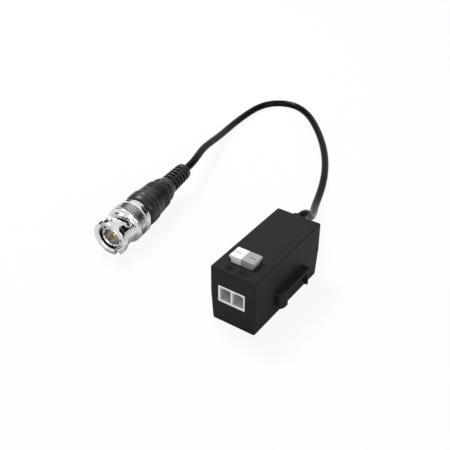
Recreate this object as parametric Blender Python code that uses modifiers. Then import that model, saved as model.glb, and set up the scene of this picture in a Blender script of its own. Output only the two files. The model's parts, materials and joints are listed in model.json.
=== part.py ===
"""A passive video balun: a snap-together housing with a push-in wire terminal and a transformer,
and a short coaxial lead that ends in a bayonet plug with a moulded boot.

+X is the housing's right side, where its joining rail is, +Y its rear and +Z up. The origin is
the centre of the base face. Lengths are in metres.
"""

import math

import bmesh
import bpy
import numpy as np
from mathutils import Matrix, Vector

MM = 0.001

# Clearances
TOUCH_GAP = 0.3 * MM      # between pieces that rest on or pass through each other
SEAM_GAP = 0.1 * MM       # between the two housing shells
FIT_GAP = 0.15 * MM       # between the turned pieces of the plug
OVERRUN = 1.0 * MM        # how far a cutter runs past the face that it cuts
EMBED = 0.2 * MM          # how far a joined form sinks into what carries it
MERGE = 0.01 * MM         # points closer than this are one point

# Housing shells
HOUSING_WIDTH = 17.0 * MM
HOUSING_DEPTH = 40.0 * MM
HOUSING_HEIGHT = 21.4 * MM
PARTING_SHARE = 0.514                 # of the housing's height, as the shares below
WALL = 1.4 * MM
BASE_DRAFT = 0.45 * MM
EDGE_RADIUS = 0.6 * MM
LIP_HEIGHT = 1.2 * MM
LIP_THICKNESS = 0.7 * MM

# Snap hooks between the shells
SNAP_WIDTH = 3.5 * MM
SNAP_RISE_SHARE = 0.196
SNAP_NOSE = 0.5 * MM
SNAP_NOSE_HEIGHT = 1.2 * MM
SNAP_PLACE_SHARES = (-0.32, 0.36)     # of the housing's depth, from its middle

# Joining rail on the right wall, and the pocket for a neighbour's rail in the left wall
RAIL_START = 11.3 * MM                # from the front face
RAIL_LENGTH = 17.9 * MM
RAIL_STANDOFF = 2.8 * MM
RAIL_PLATE = 1.2 * MM
RAIL_BAR = 1.2 * MM
RAIL_TOP_SHARE = 0.5
RAIL_FOOT_SHARE = 0.21
RAIL_FRONT_LEG = 3.9 * MM
RAIL_REAR_LEG = 1.7 * MM
RAIL_FRONT_RADIUS = 2.4 * MM
RAIL_REAR_RADIUS = 1.2 * MM
RAIL_HOOK_REACH = 1.4 * MM
RAIL_REAR_WEB = 0.8 * MM
UNIT_SPACING = 0.6 * MM               # between the walls of two joined housings
POCKET_SLIDE = 1.6 * MM
POCKET_WALL = 0.9 * MM

# Collar where the lead leaves the cover
COLLAR_X = -2.0 * MM
COLLAR_DROP = 3.9 * MM                # below the cover's top
COLLAR_RADIUS = 2.5 * MM
COLLAR_LENGTH = 3.0 * MM
COLLAR_CHAMFER = 0.5 * MM

# Wire terminal
POLE_COUNT = 2
TERMINAL_X = -0.5 * MM
TERMINAL_WIDTH_SHARE = 0.585          # of the housing's width
POLE_PITCH_SHARE = 0.472              # of the terminal's width, as the half widths below
PORT_BOTTOM_SHARE = 0.409
PORT_HEIGHT_SHARE = 0.292
PORT_CLEARANCE = 0.15 * MM
PORT_RECESS = 0.05 * MM
ENTRY_WIDTH_SHARE = 0.8               # of the pole pitch
ENTRY_HEIGHT_SHARE = 0.64             # of the port's height
ENTRY_ARCH = 0.45 * MM
ENTRY_FUNNEL = 0.35 * MM
ENTRY_DEPTH = 8.6 * MM
TERMINAL_LOWER_DEPTH = 7.65 * MM      # behind the front wall
TERMINAL_UPPER_DEPTH = 10.15 * MM
TERMINAL_SHOULDER_SHARE = 0.58

# Push buttons
CAP_LENGTH = 5.1 * MM
CAP_THICKNESS = 1.0 * MM
CAP_TOP_HEIGHT = 2.4 * MM             # above the cover
CAP_HALF_WIDTH_SHARE = 0.467          # of the pair, from its middle line
CAP_EDGE = 0.3 * MM
CAP_SPLIT = 0.08 * MM                 # half the gap between the two caps
CAP_GROOVE_WIDTH = 0.3 * MM
CAP_GROOVE_DEPTH = 0.25 * MM
PLUS_GROOVE_SHARES = (0.32, 1.0)      # of the cap's half width, from the pair's middle line
MINUS_GROOVE_SHARES = (0.29, 0.82)
BUTTON_START = 5.5 * MM               # stem's front face behind the housing's front
STEM_LENGTH = 4.9 * MM
STEM_HALF_WIDTH_SHARE = 0.389         # of the pair, from its middle line
STEM_SPLIT = 0.15 * MM
STEM_DEPTH = 2.8 * MM                 # below the cover's underside
FLANGE_REACH = 0.5 * MM
FLANGE_THICKNESS = 1.2 * MM
TIP_WIDTH = 2.4 * MM
TIP_LENGTH = 2.6 * MM
TIP_DEPTH = 1.3 * MM
BUTTON_HOLE_HALF_WIDTH_SHARE = 0.447

# Metal parts of the terminal
CONTACT_WIDTH = 1.2 * MM
CONTACT_THICKNESS = 0.5 * MM
CONTACT_LENGTH = 4.2 * MM
CONTACT_PIN_LENGTH = 0.8 * MM
CONTACT_PIN_BELOW = 0.8 * MM          # below the circuit board
CLAMP_WIDTH = 2.4 * MM
CLAMP_THICKNESS = 0.3 * MM
CLAMP_BEND_ANGLES = (20, 110)         # degrees

# Circuit board and what it carries
BOARD_THICKNESS = 1.0 * MM
BOARD_HEIGHT = 3.0 * MM
LEDGE_DEPTH = 1.2 * MM
CORE_RADIUS_SHARE = 0.4036            # of the board's width
CORE_HOLE_SHARE = 0.489               # of the core's radius
CORE_HEIGHT = 3.6 * MM
CORE_EDGE = 0.3 * MM
CORE_Y = 1.5 * MM
WINDING_TURNS = 6
WINDING_HALF_SPAN = 72                # degrees
WINDING_MIDDLES = (0, 180)            # degrees
WINDING_WIRE_RADIUS = 0.2 * MM
WINDING_CORNER = 0.3 * MM
WINDING_LEAD = 0.9 * MM
LEAD_RADIUS = 0.3 * MM
DISC_RADIUS = 2.4 * MM
DISC_THICKNESS = 1.8 * MM
DIODE_RADIUS = 1.3 * MM
DIODE_LENGTH = 4.6 * MM
RESISTOR_RADIUS = 1.0 * MM
RESISTOR_LENGTH = 5.4 * MM
LEAD_SPAN = 1.1 * MM                  # how far an axial lead runs out before it bends down
COMPONENT_LIFT = 0.5 * MM             # of a body above the board

# Lead
CABLE_RADIUS = 1.5 * MM
CABLE_POINT_COUNT = 66
CRIMP_RING_LENGTH = 2.6 * MM
CRIMP_RING_WALL = 0.45 * MM
CABLE_TAIL = 3.4 * MM                 # of jacket behind the rear wall, inside the housing
CORE_WIRE_RADIUS = 0.45 * MM
BRAID_WIRE_RADIUS = 0.6 * MM

# Plug: stations along its axis from the mouth, and radii
PLUG_MOUTH_X = -57.9 * MM
PLUG_MOUTH_Y = -13.3 * MM
PLUG_YAW = math.radians(95.3)
PLUG_TILT = math.radians(3.0)
NUT_RADIUS = 7.25 * MM
NUT_RIM_RADIUS = 6.9 * MM
NUT_RIM_LENGTH = 1.9 * MM
NUT_SLEEVE_RADIUS = 6.1 * MM
NUT_DRUM_START = 9.0 * MM
NUT_DRUM_RAMP = 0.8 * MM
NUT_LENGTH = 15.8 * MM
NUT_FRONT_BAND = 0.5 * MM
NUT_REAR_BAND = 1.6 * MM
NUT_BORE_RADIUS = 4.9 * MM
NUT_CHAMBER_RADIUS = 6.0 * MM
NUT_SHOULDER = 9.8 * MM
NUT_EDGE = 0.25 * MM
NUT_MOUTH_CHAMFER = 0.5 * MM
KNURL_COUNT = 48
KNURL_DEPTH = 0.38 * MM
SLOT_WIDTH = 2.2 * MM
SLOT_ENTRY = 5.2 * MM
SLOT_END = 6.3 * MM
SLOT_END_RADIUS = 1.55 * MM
SLOT_CORNER_RELIEF = 0.15 * MM
SLOT_START = math.radians(66.3)       # of the first slot's entry, about the plug's axis
SLOT_SWEEP = math.radians(62)
SLOT_COUNT = 2
CLIP_GROOVE_DEPTH = 0.45 * MM
CLIP_THICKNESS = 0.5 * MM
CLIP_SETBACK = 0.6 * MM
CLIP_OPENING = 2.2 * MM

SLEEVE_RADIUS = 4.05 * MM
SLEEVE_BORE_RADIUS = 3.3 * MM
SLEEVE_START = 1.0 * MM
SLEEVE_SLIT = 0.5 * MM
SLEEVE_SLIT_LENGTH = 5.0 * MM
FLANGE_RADIUS = 5.75 * MM
FLANGE_LENGTH = 1.1 * MM
BARREL_RADIUS = 4.2 * MM
BARREL_BORE_END = 15.7 * MM
COLLAR_RING_RADIUS = 6.2 * MM
COLLAR_RING_LENGTH = 1.3 * MM
SPIGOT_RADIUS = 3.2 * MM
SPIGOT_LENGTH = 2.6 * MM
STEM_TUBE_RADIUS = 1.15 * MM
STEM_TUBE_LENGTH = 5.5 * MM
PIN_RADIUS = 0.675 * MM
PIN_START = 2.4 * MM
PIN_LENGTH = 15.0 * MM
PIN_NOSE = 0.6 * MM
INSULATOR_START = 6.5 * MM
GASKET_LENGTH = 0.75 * MM
GASKET_RADIUS = 4.75 * MM
WASHER_RADIUS = 5.8 * MM
WASHER_THICKNESS = 0.7 * MM
WAVE_HEIGHT = 1.9 * MM
WAVE_THICKNESS = 0.4 * MM
WAVE_COUNT = 3
FERRULE_RADIUS = 2.0 * MM
FERRULE_BORE_RADIUS = 1.35 * MM
FERRULE_LENGTH = 6.2 * MM

# Boot, in stations behind its own front face
BOOT_LENGTH = 32.4 * MM
BOOT_FRONT_RADIUS = 6.4 * MM
BOOT_SWELL_RADIUS = 6.85 * MM
BOOT_SWELL_AT = 2.2 * MM
BOOT_BAND_LENGTH = 5.8 * MM
BOOT_BAND_RADIUS = 6.7 * MM
BOOT_STEP_WIDTH = 0.5 * MM
BOOT_STEP_DEPTH = 0.35 * MM
BOOT_TAPER_LENGTH = 8.4 * MM
BOOT_TAPER_RADIUS = 5.75 * MM
BOOT_FINE_GROOVES = 5
BOOT_FINE_PITCH = 0.8 * MM
BOOT_FINE_DEPTH = 0.18 * MM
BOOT_SHOULDER = 1.1 * MM
BOOT_NECK_RADIUS = 4.55 * MM
BOOT_NECK_LENGTH = 0.5 * MM
BOOT_BULB_RADIUS = 5.0 * MM
BOOT_BULB_LENGTH = 4.0 * MM
BOOT_WAIST_RADIUS = 3.9 * MM
BOOT_TAIL_REAR_RADIUS = 3.35 * MM
BOOT_POCKET_RADIUS = 3.5 * MM
BOOT_POCKET_LENGTH = 10.0 * MM
BOOT_EDGE = 0.4 * MM
BOOT_SLOT_ROWS = 5
BOOT_SLOT_PITCH = 2.0 * MM
BOOT_SLOT_WIDTH = 0.9 * MM
BOOT_SLOT_FIRST = 2.0 * MM            # behind the bulb
BOOT_SLOT_WALL = 1.0 * MM             # left between a slot and the bore
BOOT_BRIDGE_HALF = 1.2 * MM
BOOT_BRIDGE_ANGLE = math.radians(131) # of the bridges, about the plug's axis

# Route of the lead on the table, from the collar to the boot. The first and last points are
# worked out from the collar and the boot.
ROUTE = (
    (-2.1 * MM, 28.0 * MM, 16.7 * MM),
    (-2.6 * MM, 31.6 * MM, 14.0 * MM),
    (-3.9 * MM, 35.8 * MM, 10.6 * MM),
    (-6.2 * MM, 41.5 * MM, 7.2 * MM),
    (-8.8 * MM, 47.5 * MM, 4.6 * MM),
    (-12.0 * MM, 55.2 * MM, 2.5 * MM),
    (-15.3 * MM, 64.6 * MM, 1.6 * MM),
    (-19.6 * MM, 75.6 * MM, 1.6 * MM),
    (-25.4 * MM, 87.2 * MM, 1.6 * MM),
    (-34.5 * MM, 101.2 * MM, 1.6 * MM),
    (-47.4 * MM, 116.4 * MM, 1.6 * MM),
    (-56.6 * MM, 124.2 * MM, 1.6 * MM),
    (-66.2 * MM, 127.4 * MM, 1.6 * MM),
    (-74.0 * MM, 124.0 * MM, 1.6 * MM),
    (-77.9 * MM, 116.4 * MM, 1.6 * MM),
    (-78.5 * MM, 107.0 * MM, 1.7 * MM),
    (-77.6 * MM, 95.0 * MM, 2.1 * MM),
    (-74.8 * MM, 81.0 * MM, 3.6 * MM),
    (-71.2 * MM, 68.0 * MM, 6.4 * MM),
    (-67.4 * MM, 55.5 * MM, 9.0 * MM),
)

# Frames that stand a flat outline or a turned piece up: the columns are its own X, Y and Z
FACE_ON = Matrix(((1, 0, 0, 0), (0, 0, -1, 0), (0, 1, 0, 0), (0, 0, 0, 1)))
ALONG_Y = Matrix(((0, 1, 0, 0), (0, 0, 1, 0), (1, 0, 0, 0), (0, 0, 0, 1)))
ALONG_X = Matrix(((0, 0, 1, 0), (1, 0, 0, 0), (0, 1, 0, 0), (0, 0, 0, 1)))

ROUND_STEPS = 32
BOOT_STEPS = 28
ARC_STEPS = 4

# Sizes worked out from those above
FRONT_Y = -HOUSING_DEPTH / 2
REAR_Y = HOUSING_DEPTH / 2
ROOF_Z = HOUSING_HEIGHT - WALL
PARTING_HEIGHT = PARTING_SHARE * HOUSING_HEIGHT
SNAP_RISE = SNAP_RISE_SHARE * HOUSING_HEIGHT
RAIL_TOP = RAIL_TOP_SHARE * HOUSING_HEIGHT
RAIL_FOOT = RAIL_FOOT_SHARE * HOUSING_HEIGHT
COLLAR_HEIGHT = HOUSING_HEIGHT - COLLAR_DROP
TERMINAL_WIDTH = TERMINAL_WIDTH_SHARE * HOUSING_WIDTH
TERMINAL_SHOULDER_HEIGHT = TERMINAL_SHOULDER_SHARE * HOUSING_HEIGHT
POLE_PITCH = POLE_PITCH_SHARE * TERMINAL_WIDTH
PORT_BOTTOM = PORT_BOTTOM_SHARE * HOUSING_HEIGHT
PORT_HEIGHT = PORT_HEIGHT_SHARE * HOUSING_HEIGHT
ENTRY_WIDTH = ENTRY_WIDTH_SHARE * POLE_PITCH
ENTRY_HEIGHT = ENTRY_HEIGHT_SHARE * PORT_HEIGHT
CAP_HALF_WIDTH = CAP_HALF_WIDTH_SHARE * TERMINAL_WIDTH
STEM_HALF_WIDTH = STEM_HALF_WIDTH_SHARE * TERMINAL_WIDTH
BUTTON_HOLE_HALF_WIDTH = BUTTON_HOLE_HALF_WIDTH_SHARE * TERMINAL_WIDTH
BOARD_TOP = BOARD_HEIGHT + BOARD_THICKNESS
PORT_MIDDLE = PORT_BOTTOM + PORT_HEIGHT / 2
ENTRY_FLOOR = PORT_MIDDLE - (ENTRY_HEIGHT + ENTRY_ARCH) / 2
POLE_XS = [TERMINAL_X + (i - (POLE_COUNT - 1) / 2) * POLE_PITCH for i in range(POLE_COUNT)]
STEM_FRONT = FRONT_Y + BUTTON_START
STEM_MIDDLE = STEM_FRONT + STEM_LENGTH / 2
STEM_FOOT = ROOF_Z - STEM_DEPTH
TIP_FOOT = STEM_FOOT - TIP_DEPTH
BUTTON_TRAVEL = CAP_TOP_HEIGHT - CAP_THICKNESS - TOUCH_GAP
CONTACT_TOP = ENTRY_FLOOR + TOUCH_GAP + CONTACT_THICKNESS
CHANNEL_END = FRONT_Y + ENTRY_DEPTH
PIN_SLOT_FRONT = CHANNEL_END - CONTACT_PIN_LENGTH - 2 * TOUCH_GAP
JACKET_DEPTH = RAIL_STANDOFF - UNIT_SPACING + TOUCH_GAP + POCKET_WALL
BOARD_LEFT = -HOUSING_WIDTH / 2 + JACKET_DEPTH + TOUCH_GAP
BOARD_RIGHT = HOUSING_WIDTH / 2 - WALL - BASE_DRAFT - TOUCH_GAP
BOARD_MIDDLE_X = (BOARD_LEFT + BOARD_RIGHT) / 2
CORE_OUTER_RADIUS = CORE_RADIUS_SHARE * (BOARD_RIGHT - BOARD_LEFT)
CORE_INNER_RADIUS = CORE_HOLE_SHARE * CORE_OUTER_RADIUS
BOARD_HALF_DEPTH = HOUSING_DEPTH / 2 - WALL - BASE_DRAFT - TOUCH_GAP
BODY_FLANGE_START = NUT_SHOULDER + TOUCH_GAP
BODY_COLLAR_START = NUT_LENGTH + TOUCH_GAP
BODY_COLLAR_END = BODY_COLLAR_START + COLLAR_RING_LENGTH
BOOT_START = BODY_COLLAR_END + TOUCH_GAP
BOOT_END = BOOT_START + BOOT_LENGTH
CLIP_START = NUT_LENGTH - CLIP_SETBACK - CLIP_THICKNESS
WASHER_START = CLIP_START - TOUCH_GAP - WASHER_THICKNESS
BOOT_BULB_START = BOOT_BAND_LENGTH + BOOT_STEP_WIDTH + BOOT_TAPER_LENGTH + BOOT_NECK_LENGTH
BOOT_BULB_END = BOOT_BULB_START + BOOT_BULB_LENGTH


def clear_scene():
    for obj in list(bpy.data.objects):
        bpy.data.objects.remove(obj, do_unlink=True)


def new_collection(name):
    group = bpy.data.collections.new(name)
    bpy.context.scene.collection.children.link(group)
    return group


def new_material(name, color, roughness, metallic=0.0):
    mat = bpy.data.materials.new(name)
    mat.use_nodes = True
    shader = mat.node_tree.nodes["Principled BSDF"]
    shader.inputs["Base Color"].default_value = (*color, 1.0)
    shader.inputs["Roughness"].default_value = roughness
    shader.inputs["Metallic"].default_value = metallic
    return mat


clear_scene()
PARTS = new_collection("video_balun")
CUTTERS = new_collection("cutters")

BLACK_PLASTIC = new_material("black_plastic", (0.024, 0.024, 0.026), 0.55)
WHITE_PLASTIC = new_material("white_plastic", (0.86, 0.86, 0.85), 0.4)
GREY_PLASTIC = new_material("grey_plastic", (0.5, 0.5, 0.5), 0.4)
TINNED_BRASS = new_material("tinned_brass", (0.74, 0.73, 0.7), 0.3, 1.0)
SPRING_STEEL = new_material("spring_steel", (0.56, 0.57, 0.58), 0.28, 1.0)
BOARD_GREEN = new_material("board_green", (0.02, 0.17, 0.07), 0.4)
FERRITE = new_material("ferrite", (0.07, 0.07, 0.075), 0.6)
RED_ENAMEL = new_material("red_enamel_wire", (0.5, 0.07, 0.03), 0.3)
GREEN_ENAMEL = new_material("green_enamel_wire", (0.03, 0.3, 0.1), 0.3)
DISC_BLUE = new_material("capacitor_blue", (0.08, 0.2, 0.5), 0.45)
DIODE_BLACK = new_material("diode_black", (0.03, 0.03, 0.03), 0.35)
RESISTOR_TAN = new_material("resistor_tan", (0.62, 0.48, 0.3), 0.45)
BLACK_PVC = new_material("black_pvc", (0.014, 0.014, 0.016), 0.35)
WHITE_WIRE = new_material("white_wire", (0.8, 0.8, 0.78), 0.4)
COPPER_BRAID = new_material("copper_braid", (0.72, 0.4, 0.24), 0.4, 1.0)
NICKEL = new_material("nickel", (0.72, 0.71, 0.69), 0.18, 1.0)
GOLD = new_material("gold_plate", (0.95, 0.7, 0.3), 0.2, 1.0)
PTFE = new_material("insulator_white", (0.88, 0.88, 0.86), 0.45)
SILICONE = new_material("silicone_gasket", (0.55, 0.1, 0.08), 0.5)


def place(obj, group, matrix=None, parent=None):
    """Puts an object in its collection, at a place in the world or under a parent."""
    group.objects.link(obj)
    if parent is not None:
        obj.parent = parent
    if matrix is not None:
        obj.matrix_local = matrix
    return obj


def as_part(obj, material, smooth_angle=None):
    obj.data.materials.clear()
    obj.data.materials.append(material)
    if smooth_angle is not None and obj.type == "MESH":
        obj.data.shade_smooth()
        obj.data.set_sharp_from_angle(angle=math.radians(smooth_angle))
    return obj


def as_cutter(obj):
    obj.hide_render = True
    obj.display_type = "WIRE"
    return obj


def mesh_object(name, bm):
    bmesh.ops.recalc_face_normals(bm, faces=bm.faces)
    mesh = bpy.data.meshes.new(name)
    bm.to_mesh(mesh)
    bm.free()
    return bpy.data.objects.new(name, mesh)


def frozen(obj):
    """Replaces a curve or a modified object by the closed mesh that it shows."""
    bpy.context.view_layer.update()
    shown = obj.evaluated_get(bpy.context.evaluated_depsgraph_get())
    mesh = bpy.data.meshes.new_from_object(shown)
    bm = bmesh.new()
    bm.from_mesh(mesh)
    bmesh.ops.remove_doubles(bm, verts=bm.verts, dist=MERGE)
    bmesh.ops.recalc_face_normals(bm, faces=bm.faces)
    bm.to_mesh(mesh)
    bm.free()
    name, local, parent = obj.name, obj.matrix_local.copy(), obj.parent
    group = obj.users_collection[0]
    bpy.data.objects.remove(obj, do_unlink=True)
    return place(bpy.data.objects.new(name, mesh), group, local, parent)


def block(name, group, low, high, radius=0.0, segments=2, parent=None, matrix=None):
    """A box between two corners, with all its edges rounded where a radius is given."""
    low, high = Vector(low), Vector(high)
    size = high - low
    bm = bmesh.new()
    shape = Matrix.Translation((low + high) / 2) @ Matrix.Diagonal((*size, 1))
    bmesh.ops.create_cube(bm, size=1, matrix=shape)
    if radius:
        bmesh.ops.bevel(bm, geom=bm.edges[:], offset=radius, segments=segments, profile=0.5, affect="EDGES")
    return place(mesh_object(name, bm), group, matrix, parent)


def shell_block(name, group, width, depth, bottom, top, inset=0.0, radius=0.0, square_end=None):
    """A block centred in plan that narrows by an inset at its bottom. Its edges are rounded,
    apart from those at the square end, which is "top" or "bottom"."""
    bm = bmesh.new()
    shape = Matrix.Translation((0, 0, (bottom + top) / 2)) @ Matrix.Diagonal((width, depth, top - bottom, 1))
    bmesh.ops.create_cube(bm, size=1, matrix=shape)
    middle = (bottom + top) / 2
    for v in bm.verts:
        if v.co.z < middle:
            v.co.x -= math.copysign(inset, v.co.x)
            v.co.y -= math.copysign(inset, v.co.y)
    if radius:
        side = {"top": 1, "bottom": -1}[square_end]
        edges = [e for e in bm.edges if not all((v.co.z - middle) * side > 0 for v in e.verts)]
        bmesh.ops.bevel(bm, geom=edges, offset=radius, segments=3, profile=0.5, affect="EDGES")
    return place(mesh_object(name, bm), group)


def plate(name, group, outline, low, high, frame=None, parent=None):
    """A flat outline extruded between two levels of its own Z, stood up by a frame."""
    curve = bpy.data.curves.new(name, "CURVE")
    curve.dimensions = "2D"
    curve.fill_mode = "BOTH"
    curve.extrude = (high - low) / 2
    line = curve.splines.new("POLY")
    line.points.add(len(outline) - 1)
    for point, (u, v) in zip(line.points, outline):
        point.co = (u, v, 0, 1)
    line.use_cyclic_u = True
    frame = frame if frame is not None else Matrix.Identity(4)
    lift = Matrix.Translation((0, 0, (low + high) / 2))
    return frozen(place(bpy.data.objects.new(name, curve), group, frame @ lift, parent))


def turned(name, group, profile, steps=ROUND_STEPS, matrix=None, parent=None):
    """A profile of (radius, station) points turned about the local Z. It closes on itself, or on
    the axis where its first and last points have no radius."""
    points = list(profile)
    closed = points[0][0] > 0
    ring = points + points[:1]
    area = sum(r0 * z1 - r1 * z0 for (r0, z0), (r1, z1) in zip(ring, ring[1:]))
    if area > 0:
        points.reverse()
    mesh = bpy.data.meshes.new(name)
    last = len(points) if closed else len(points) - 1
    edges = [(i, (i + 1) % len(points)) for i in range(last)]
    mesh.from_pydata([(r, 0, z) for r, z in points], edges, [])
    obj = place(bpy.data.objects.new(name, mesh), group, matrix, parent)
    screw = obj.modifiers.new("turn", "SCREW")
    screw.steps = screw.render_steps = steps
    screw.use_merge_vertices = True
    screw.merge_threshold = MERGE / 2
    return frozen(obj)


def tube(name, group, points, radius, resolution=2, parent=None):
    """A round wire or lead along a list of points, with closed ends."""
    curve = bpy.data.curves.new(name, "CURVE")
    curve.dimensions = "3D"
    curve.bevel_depth = radius
    curve.bevel_resolution = resolution
    curve.use_fill_caps = True
    line = curve.splines.new("POLY")
    line.points.add(len(points) - 1)
    for point, place_at in zip(line.points, points):
        point.co = (*place_at, 1)
    return frozen(place(bpy.data.objects.new(name, curve), group, None, parent))


def combine(target, tool, operation):
    """Cuts a tool from a piece, or joins it on, and keeps the tool out of the model."""
    step = target.modifiers.new(f"{operation.lower()} {tool.name}", "BOOLEAN")
    step.operation = operation
    step.solver = "EXACT"
    step.object = as_cutter(tool)
    return target


def cut(target, *tools):
    for tool in tools:
        combine(target, tool, "DIFFERENCE")


def join(target, *tools):
    for tool in tools:
        combine(target, tool, "UNION")


def arc(center, radius, start, end, steps=ARC_STEPS):
    """Points on a circle from one angle in degrees to another."""
    turns = [math.radians(start + (end - start) * i / steps) for i in range(steps + 1)]
    return [(center[0] + radius * math.cos(t), center[1] + radius * math.sin(t)) for t in turns]


def smooth_route(points, count):
    """Evenly spaced points on a natural cubic spline through the given ones."""
    knots = np.array(points, dtype=float)
    chords = np.linalg.norm(np.diff(knots, axis=0), axis=1)
    at = np.concatenate(([0.0], np.cumsum(chords)))
    size = len(knots)
    terms = np.eye(size)
    known = np.zeros((size, 3))
    for i in range(1, size - 1):
        before, after = chords[i - 1], chords[i]
        terms[i, i - 1:i + 2] = before, 2 * (before + after), after
        known[i] = 6 * ((knots[i + 1] - knots[i]) / after - (knots[i] - knots[i - 1]) / before)
    bend = np.linalg.solve(terms, known)

    def position(s):
        i = min(int(np.searchsorted(at, s, side="right")) - 1, size - 2)
        h = chords[i]
        a, b = (at[i + 1] - s) / h, (s - at[i]) / h
        curved = ((a ** 3 - a) * bend[i] + (b ** 3 - b) * bend[i + 1]) * h * h / 6
        return a * knots[i] + b * knots[i + 1] + curved

    fine = np.array([position(s) for s in np.linspace(0, at[-1], 40 * size)])
    run = np.concatenate(([0.0], np.cumsum(np.linalg.norm(np.diff(fine, axis=0), axis=1))))
    wanted = np.linspace(0, run[-1], count)
    return [Vector([np.interp(s, run, fine[:, k]) for k in range(3)]) for s in wanted]


def port_window():
    """The opening in the front walls that the terminal's face fills."""
    half = TERMINAL_WIDTH / 2 + PORT_CLEARANCE
    low = (TERMINAL_X - half, FRONT_Y - OVERRUN, PORT_BOTTOM - PORT_CLEARANCE)
    high = (TERMINAL_X + half, FRONT_Y + WALL + OVERRUN, PORT_BOTTOM + PORT_HEIGHT + PORT_CLEARANCE)
    return block("port_window", CUTTERS, low, high)


def snap_places():
    """Side and place along the housing of each snap hook."""
    return [(side, share * HOUSING_DEPTH) for side in (-1, 1) for share in SNAP_PLACE_SHARES]


def snap_hook(index, side, y):
    """A hook on the lip that bends in and catches in the cover's wall."""
    face = HOUSING_WIDTH / 2 - WALL - FIT_GAP
    foot = PARTING_HEIGHT + LIP_HEIGHT / 2
    top = PARTING_HEIGHT + SNAP_RISE
    nose = face + SNAP_NOSE
    outline = [
        (face - LIP_THICKNESS, foot),
        (face - EMBED, foot),
        (face - EMBED, top - SNAP_NOSE_HEIGHT),
        (nose, top - SNAP_NOSE_HEIGHT),
        (face - EMBED, top),
        (face - LIP_THICKNESS, top),
    ]
    outline = [(side * u, v) for u, v in outline]
    low, high = -y - SNAP_WIDTH / 2, -y + SNAP_WIDTH / 2
    return plate(f"snap_hook_{index}", CUTTERS, outline, low, high, FACE_ON)


def snap_recess(index, side, y):
    """The slot in the cover's wall that takes a hook's nose."""
    inner = HOUSING_WIDTH / 2 - WALL - OVERRUN
    outer = HOUSING_WIDTH / 2 - WALL + SNAP_NOSE
    xs = sorted((side * inner, side * outer))
    top = PARTING_HEIGHT + SNAP_RISE
    reach = SNAP_WIDTH / 2 + TOUCH_GAP
    low = (xs[0], y - reach, top - SNAP_NOSE_HEIGHT - TOUCH_GAP)
    high = (xs[1], y + reach, top + TOUCH_GAP)
    return block(f"snap_recess_{index}", CUTTERS, low, high)


def make_cover():
    """The upper shell, with the button opening, the port and the collar for the lead."""
    bottom = PARTING_HEIGHT + SEAM_GAP
    cover = shell_block("housing_cover", PARTS, HOUSING_WIDTH, HOUSING_DEPTH, bottom, HOUSING_HEIGHT,
                        radius=EDGE_RADIUS, square_end="bottom")
    inside = shell_block("cover_inside", CUTTERS, HOUSING_WIDTH - 2 * WALL, HOUSING_DEPTH - 2 * WALL,
                         bottom - OVERRUN, ROOF_Z)
    hole_low = (TERMINAL_X - BUTTON_HOLE_HALF_WIDTH, STEM_FRONT - TOUCH_GAP, ROOF_Z - OVERRUN)
    hole_high = (TERMINAL_X + BUTTON_HOLE_HALF_WIDTH, STEM_FRONT + STEM_LENGTH + TOUCH_GAP,
                 HOUSING_HEIGHT + OVERRUN)
    button_hole = block("button_hole", CUTTERS, hole_low, hole_high)
    seat = Matrix.Translation((COLLAR_X, REAR_Y, COLLAR_HEIGHT)) @ ALONG_Y
    collar = turned("collar", CUTTERS, [
        (0, -EMBED),
        (COLLAR_RADIUS, -EMBED),
        (COLLAR_RADIUS, COLLAR_LENGTH - COLLAR_CHAMFER),
        (COLLAR_RADIUS - COLLAR_CHAMFER, COLLAR_LENGTH),
        (0, COLLAR_LENGTH),
    ], steps=24, matrix=seat)
    bore_radius = CABLE_RADIUS + TOUCH_GAP
    bore = turned("collar_bore", CUTTERS, [
        (0, -WALL - OVERRUN),
        (bore_radius, -WALL - OVERRUN),
        (bore_radius, COLLAR_LENGTH + OVERRUN),
        (0, COLLAR_LENGTH + OVERRUN),
    ], steps=24, matrix=seat)
    cut(cover, inside)
    join(cover, collar)
    cut(cover, bore, button_hole, port_window())
    for index, (side, y) in enumerate(snap_places()):
        cut(cover, snap_recess(index, side, y))
    return as_part(cover, BLACK_PLASTIC, 30)


def rail_hood():
    """The joining rail: a bar on two hooked legs that stand off the right wall."""
    wall_x = HOUSING_WIDTH / 2 - BASE_DRAFT - EMBED
    face_x = HOUSING_WIDTH / 2 + RAIL_STANDOFF
    front = FRONT_Y + RAIL_START
    rear = front + RAIL_LENGTH
    outline = [(wall_x, front)]
    outline += arc((face_x - RAIL_FRONT_RADIUS, front + RAIL_FRONT_RADIUS), RAIL_FRONT_RADIUS, -90, 0)
    outline += arc((face_x - RAIL_REAR_RADIUS, rear - RAIL_REAR_RADIUS), RAIL_REAR_RADIUS, 0, 90)
    outline += [(wall_x, rear)]
    hood = plate("rail_hood", CUTTERS, outline, RAIL_FOOT, RAIL_TOP)
    under = RAIL_TOP - RAIL_BAR
    back_x = face_x - RAIL_PLATE
    clear_x = wall_x - OVERRUN
    rear_leg = rear - RAIL_REAR_LEG
    cut(
        hood,
        block("rail_opening", CUTTERS, (clear_x, front + RAIL_FRONT_LEG, RAIL_FOOT - OVERRUN),
              (face_x + OVERRUN, rear_leg, under)),
        block("rail_front_hook", CUTTERS, (clear_x, front - OVERRUN, RAIL_FOOT - OVERRUN),
              (back_x, front + RAIL_HOOK_REACH, under)),
        block("rail_rear_hook", CUTTERS, (clear_x, rear_leg - EMBED, RAIL_FOOT - OVERRUN),
              (back_x, rear - RAIL_REAR_WEB, under)),
    )
    return hood


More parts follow.
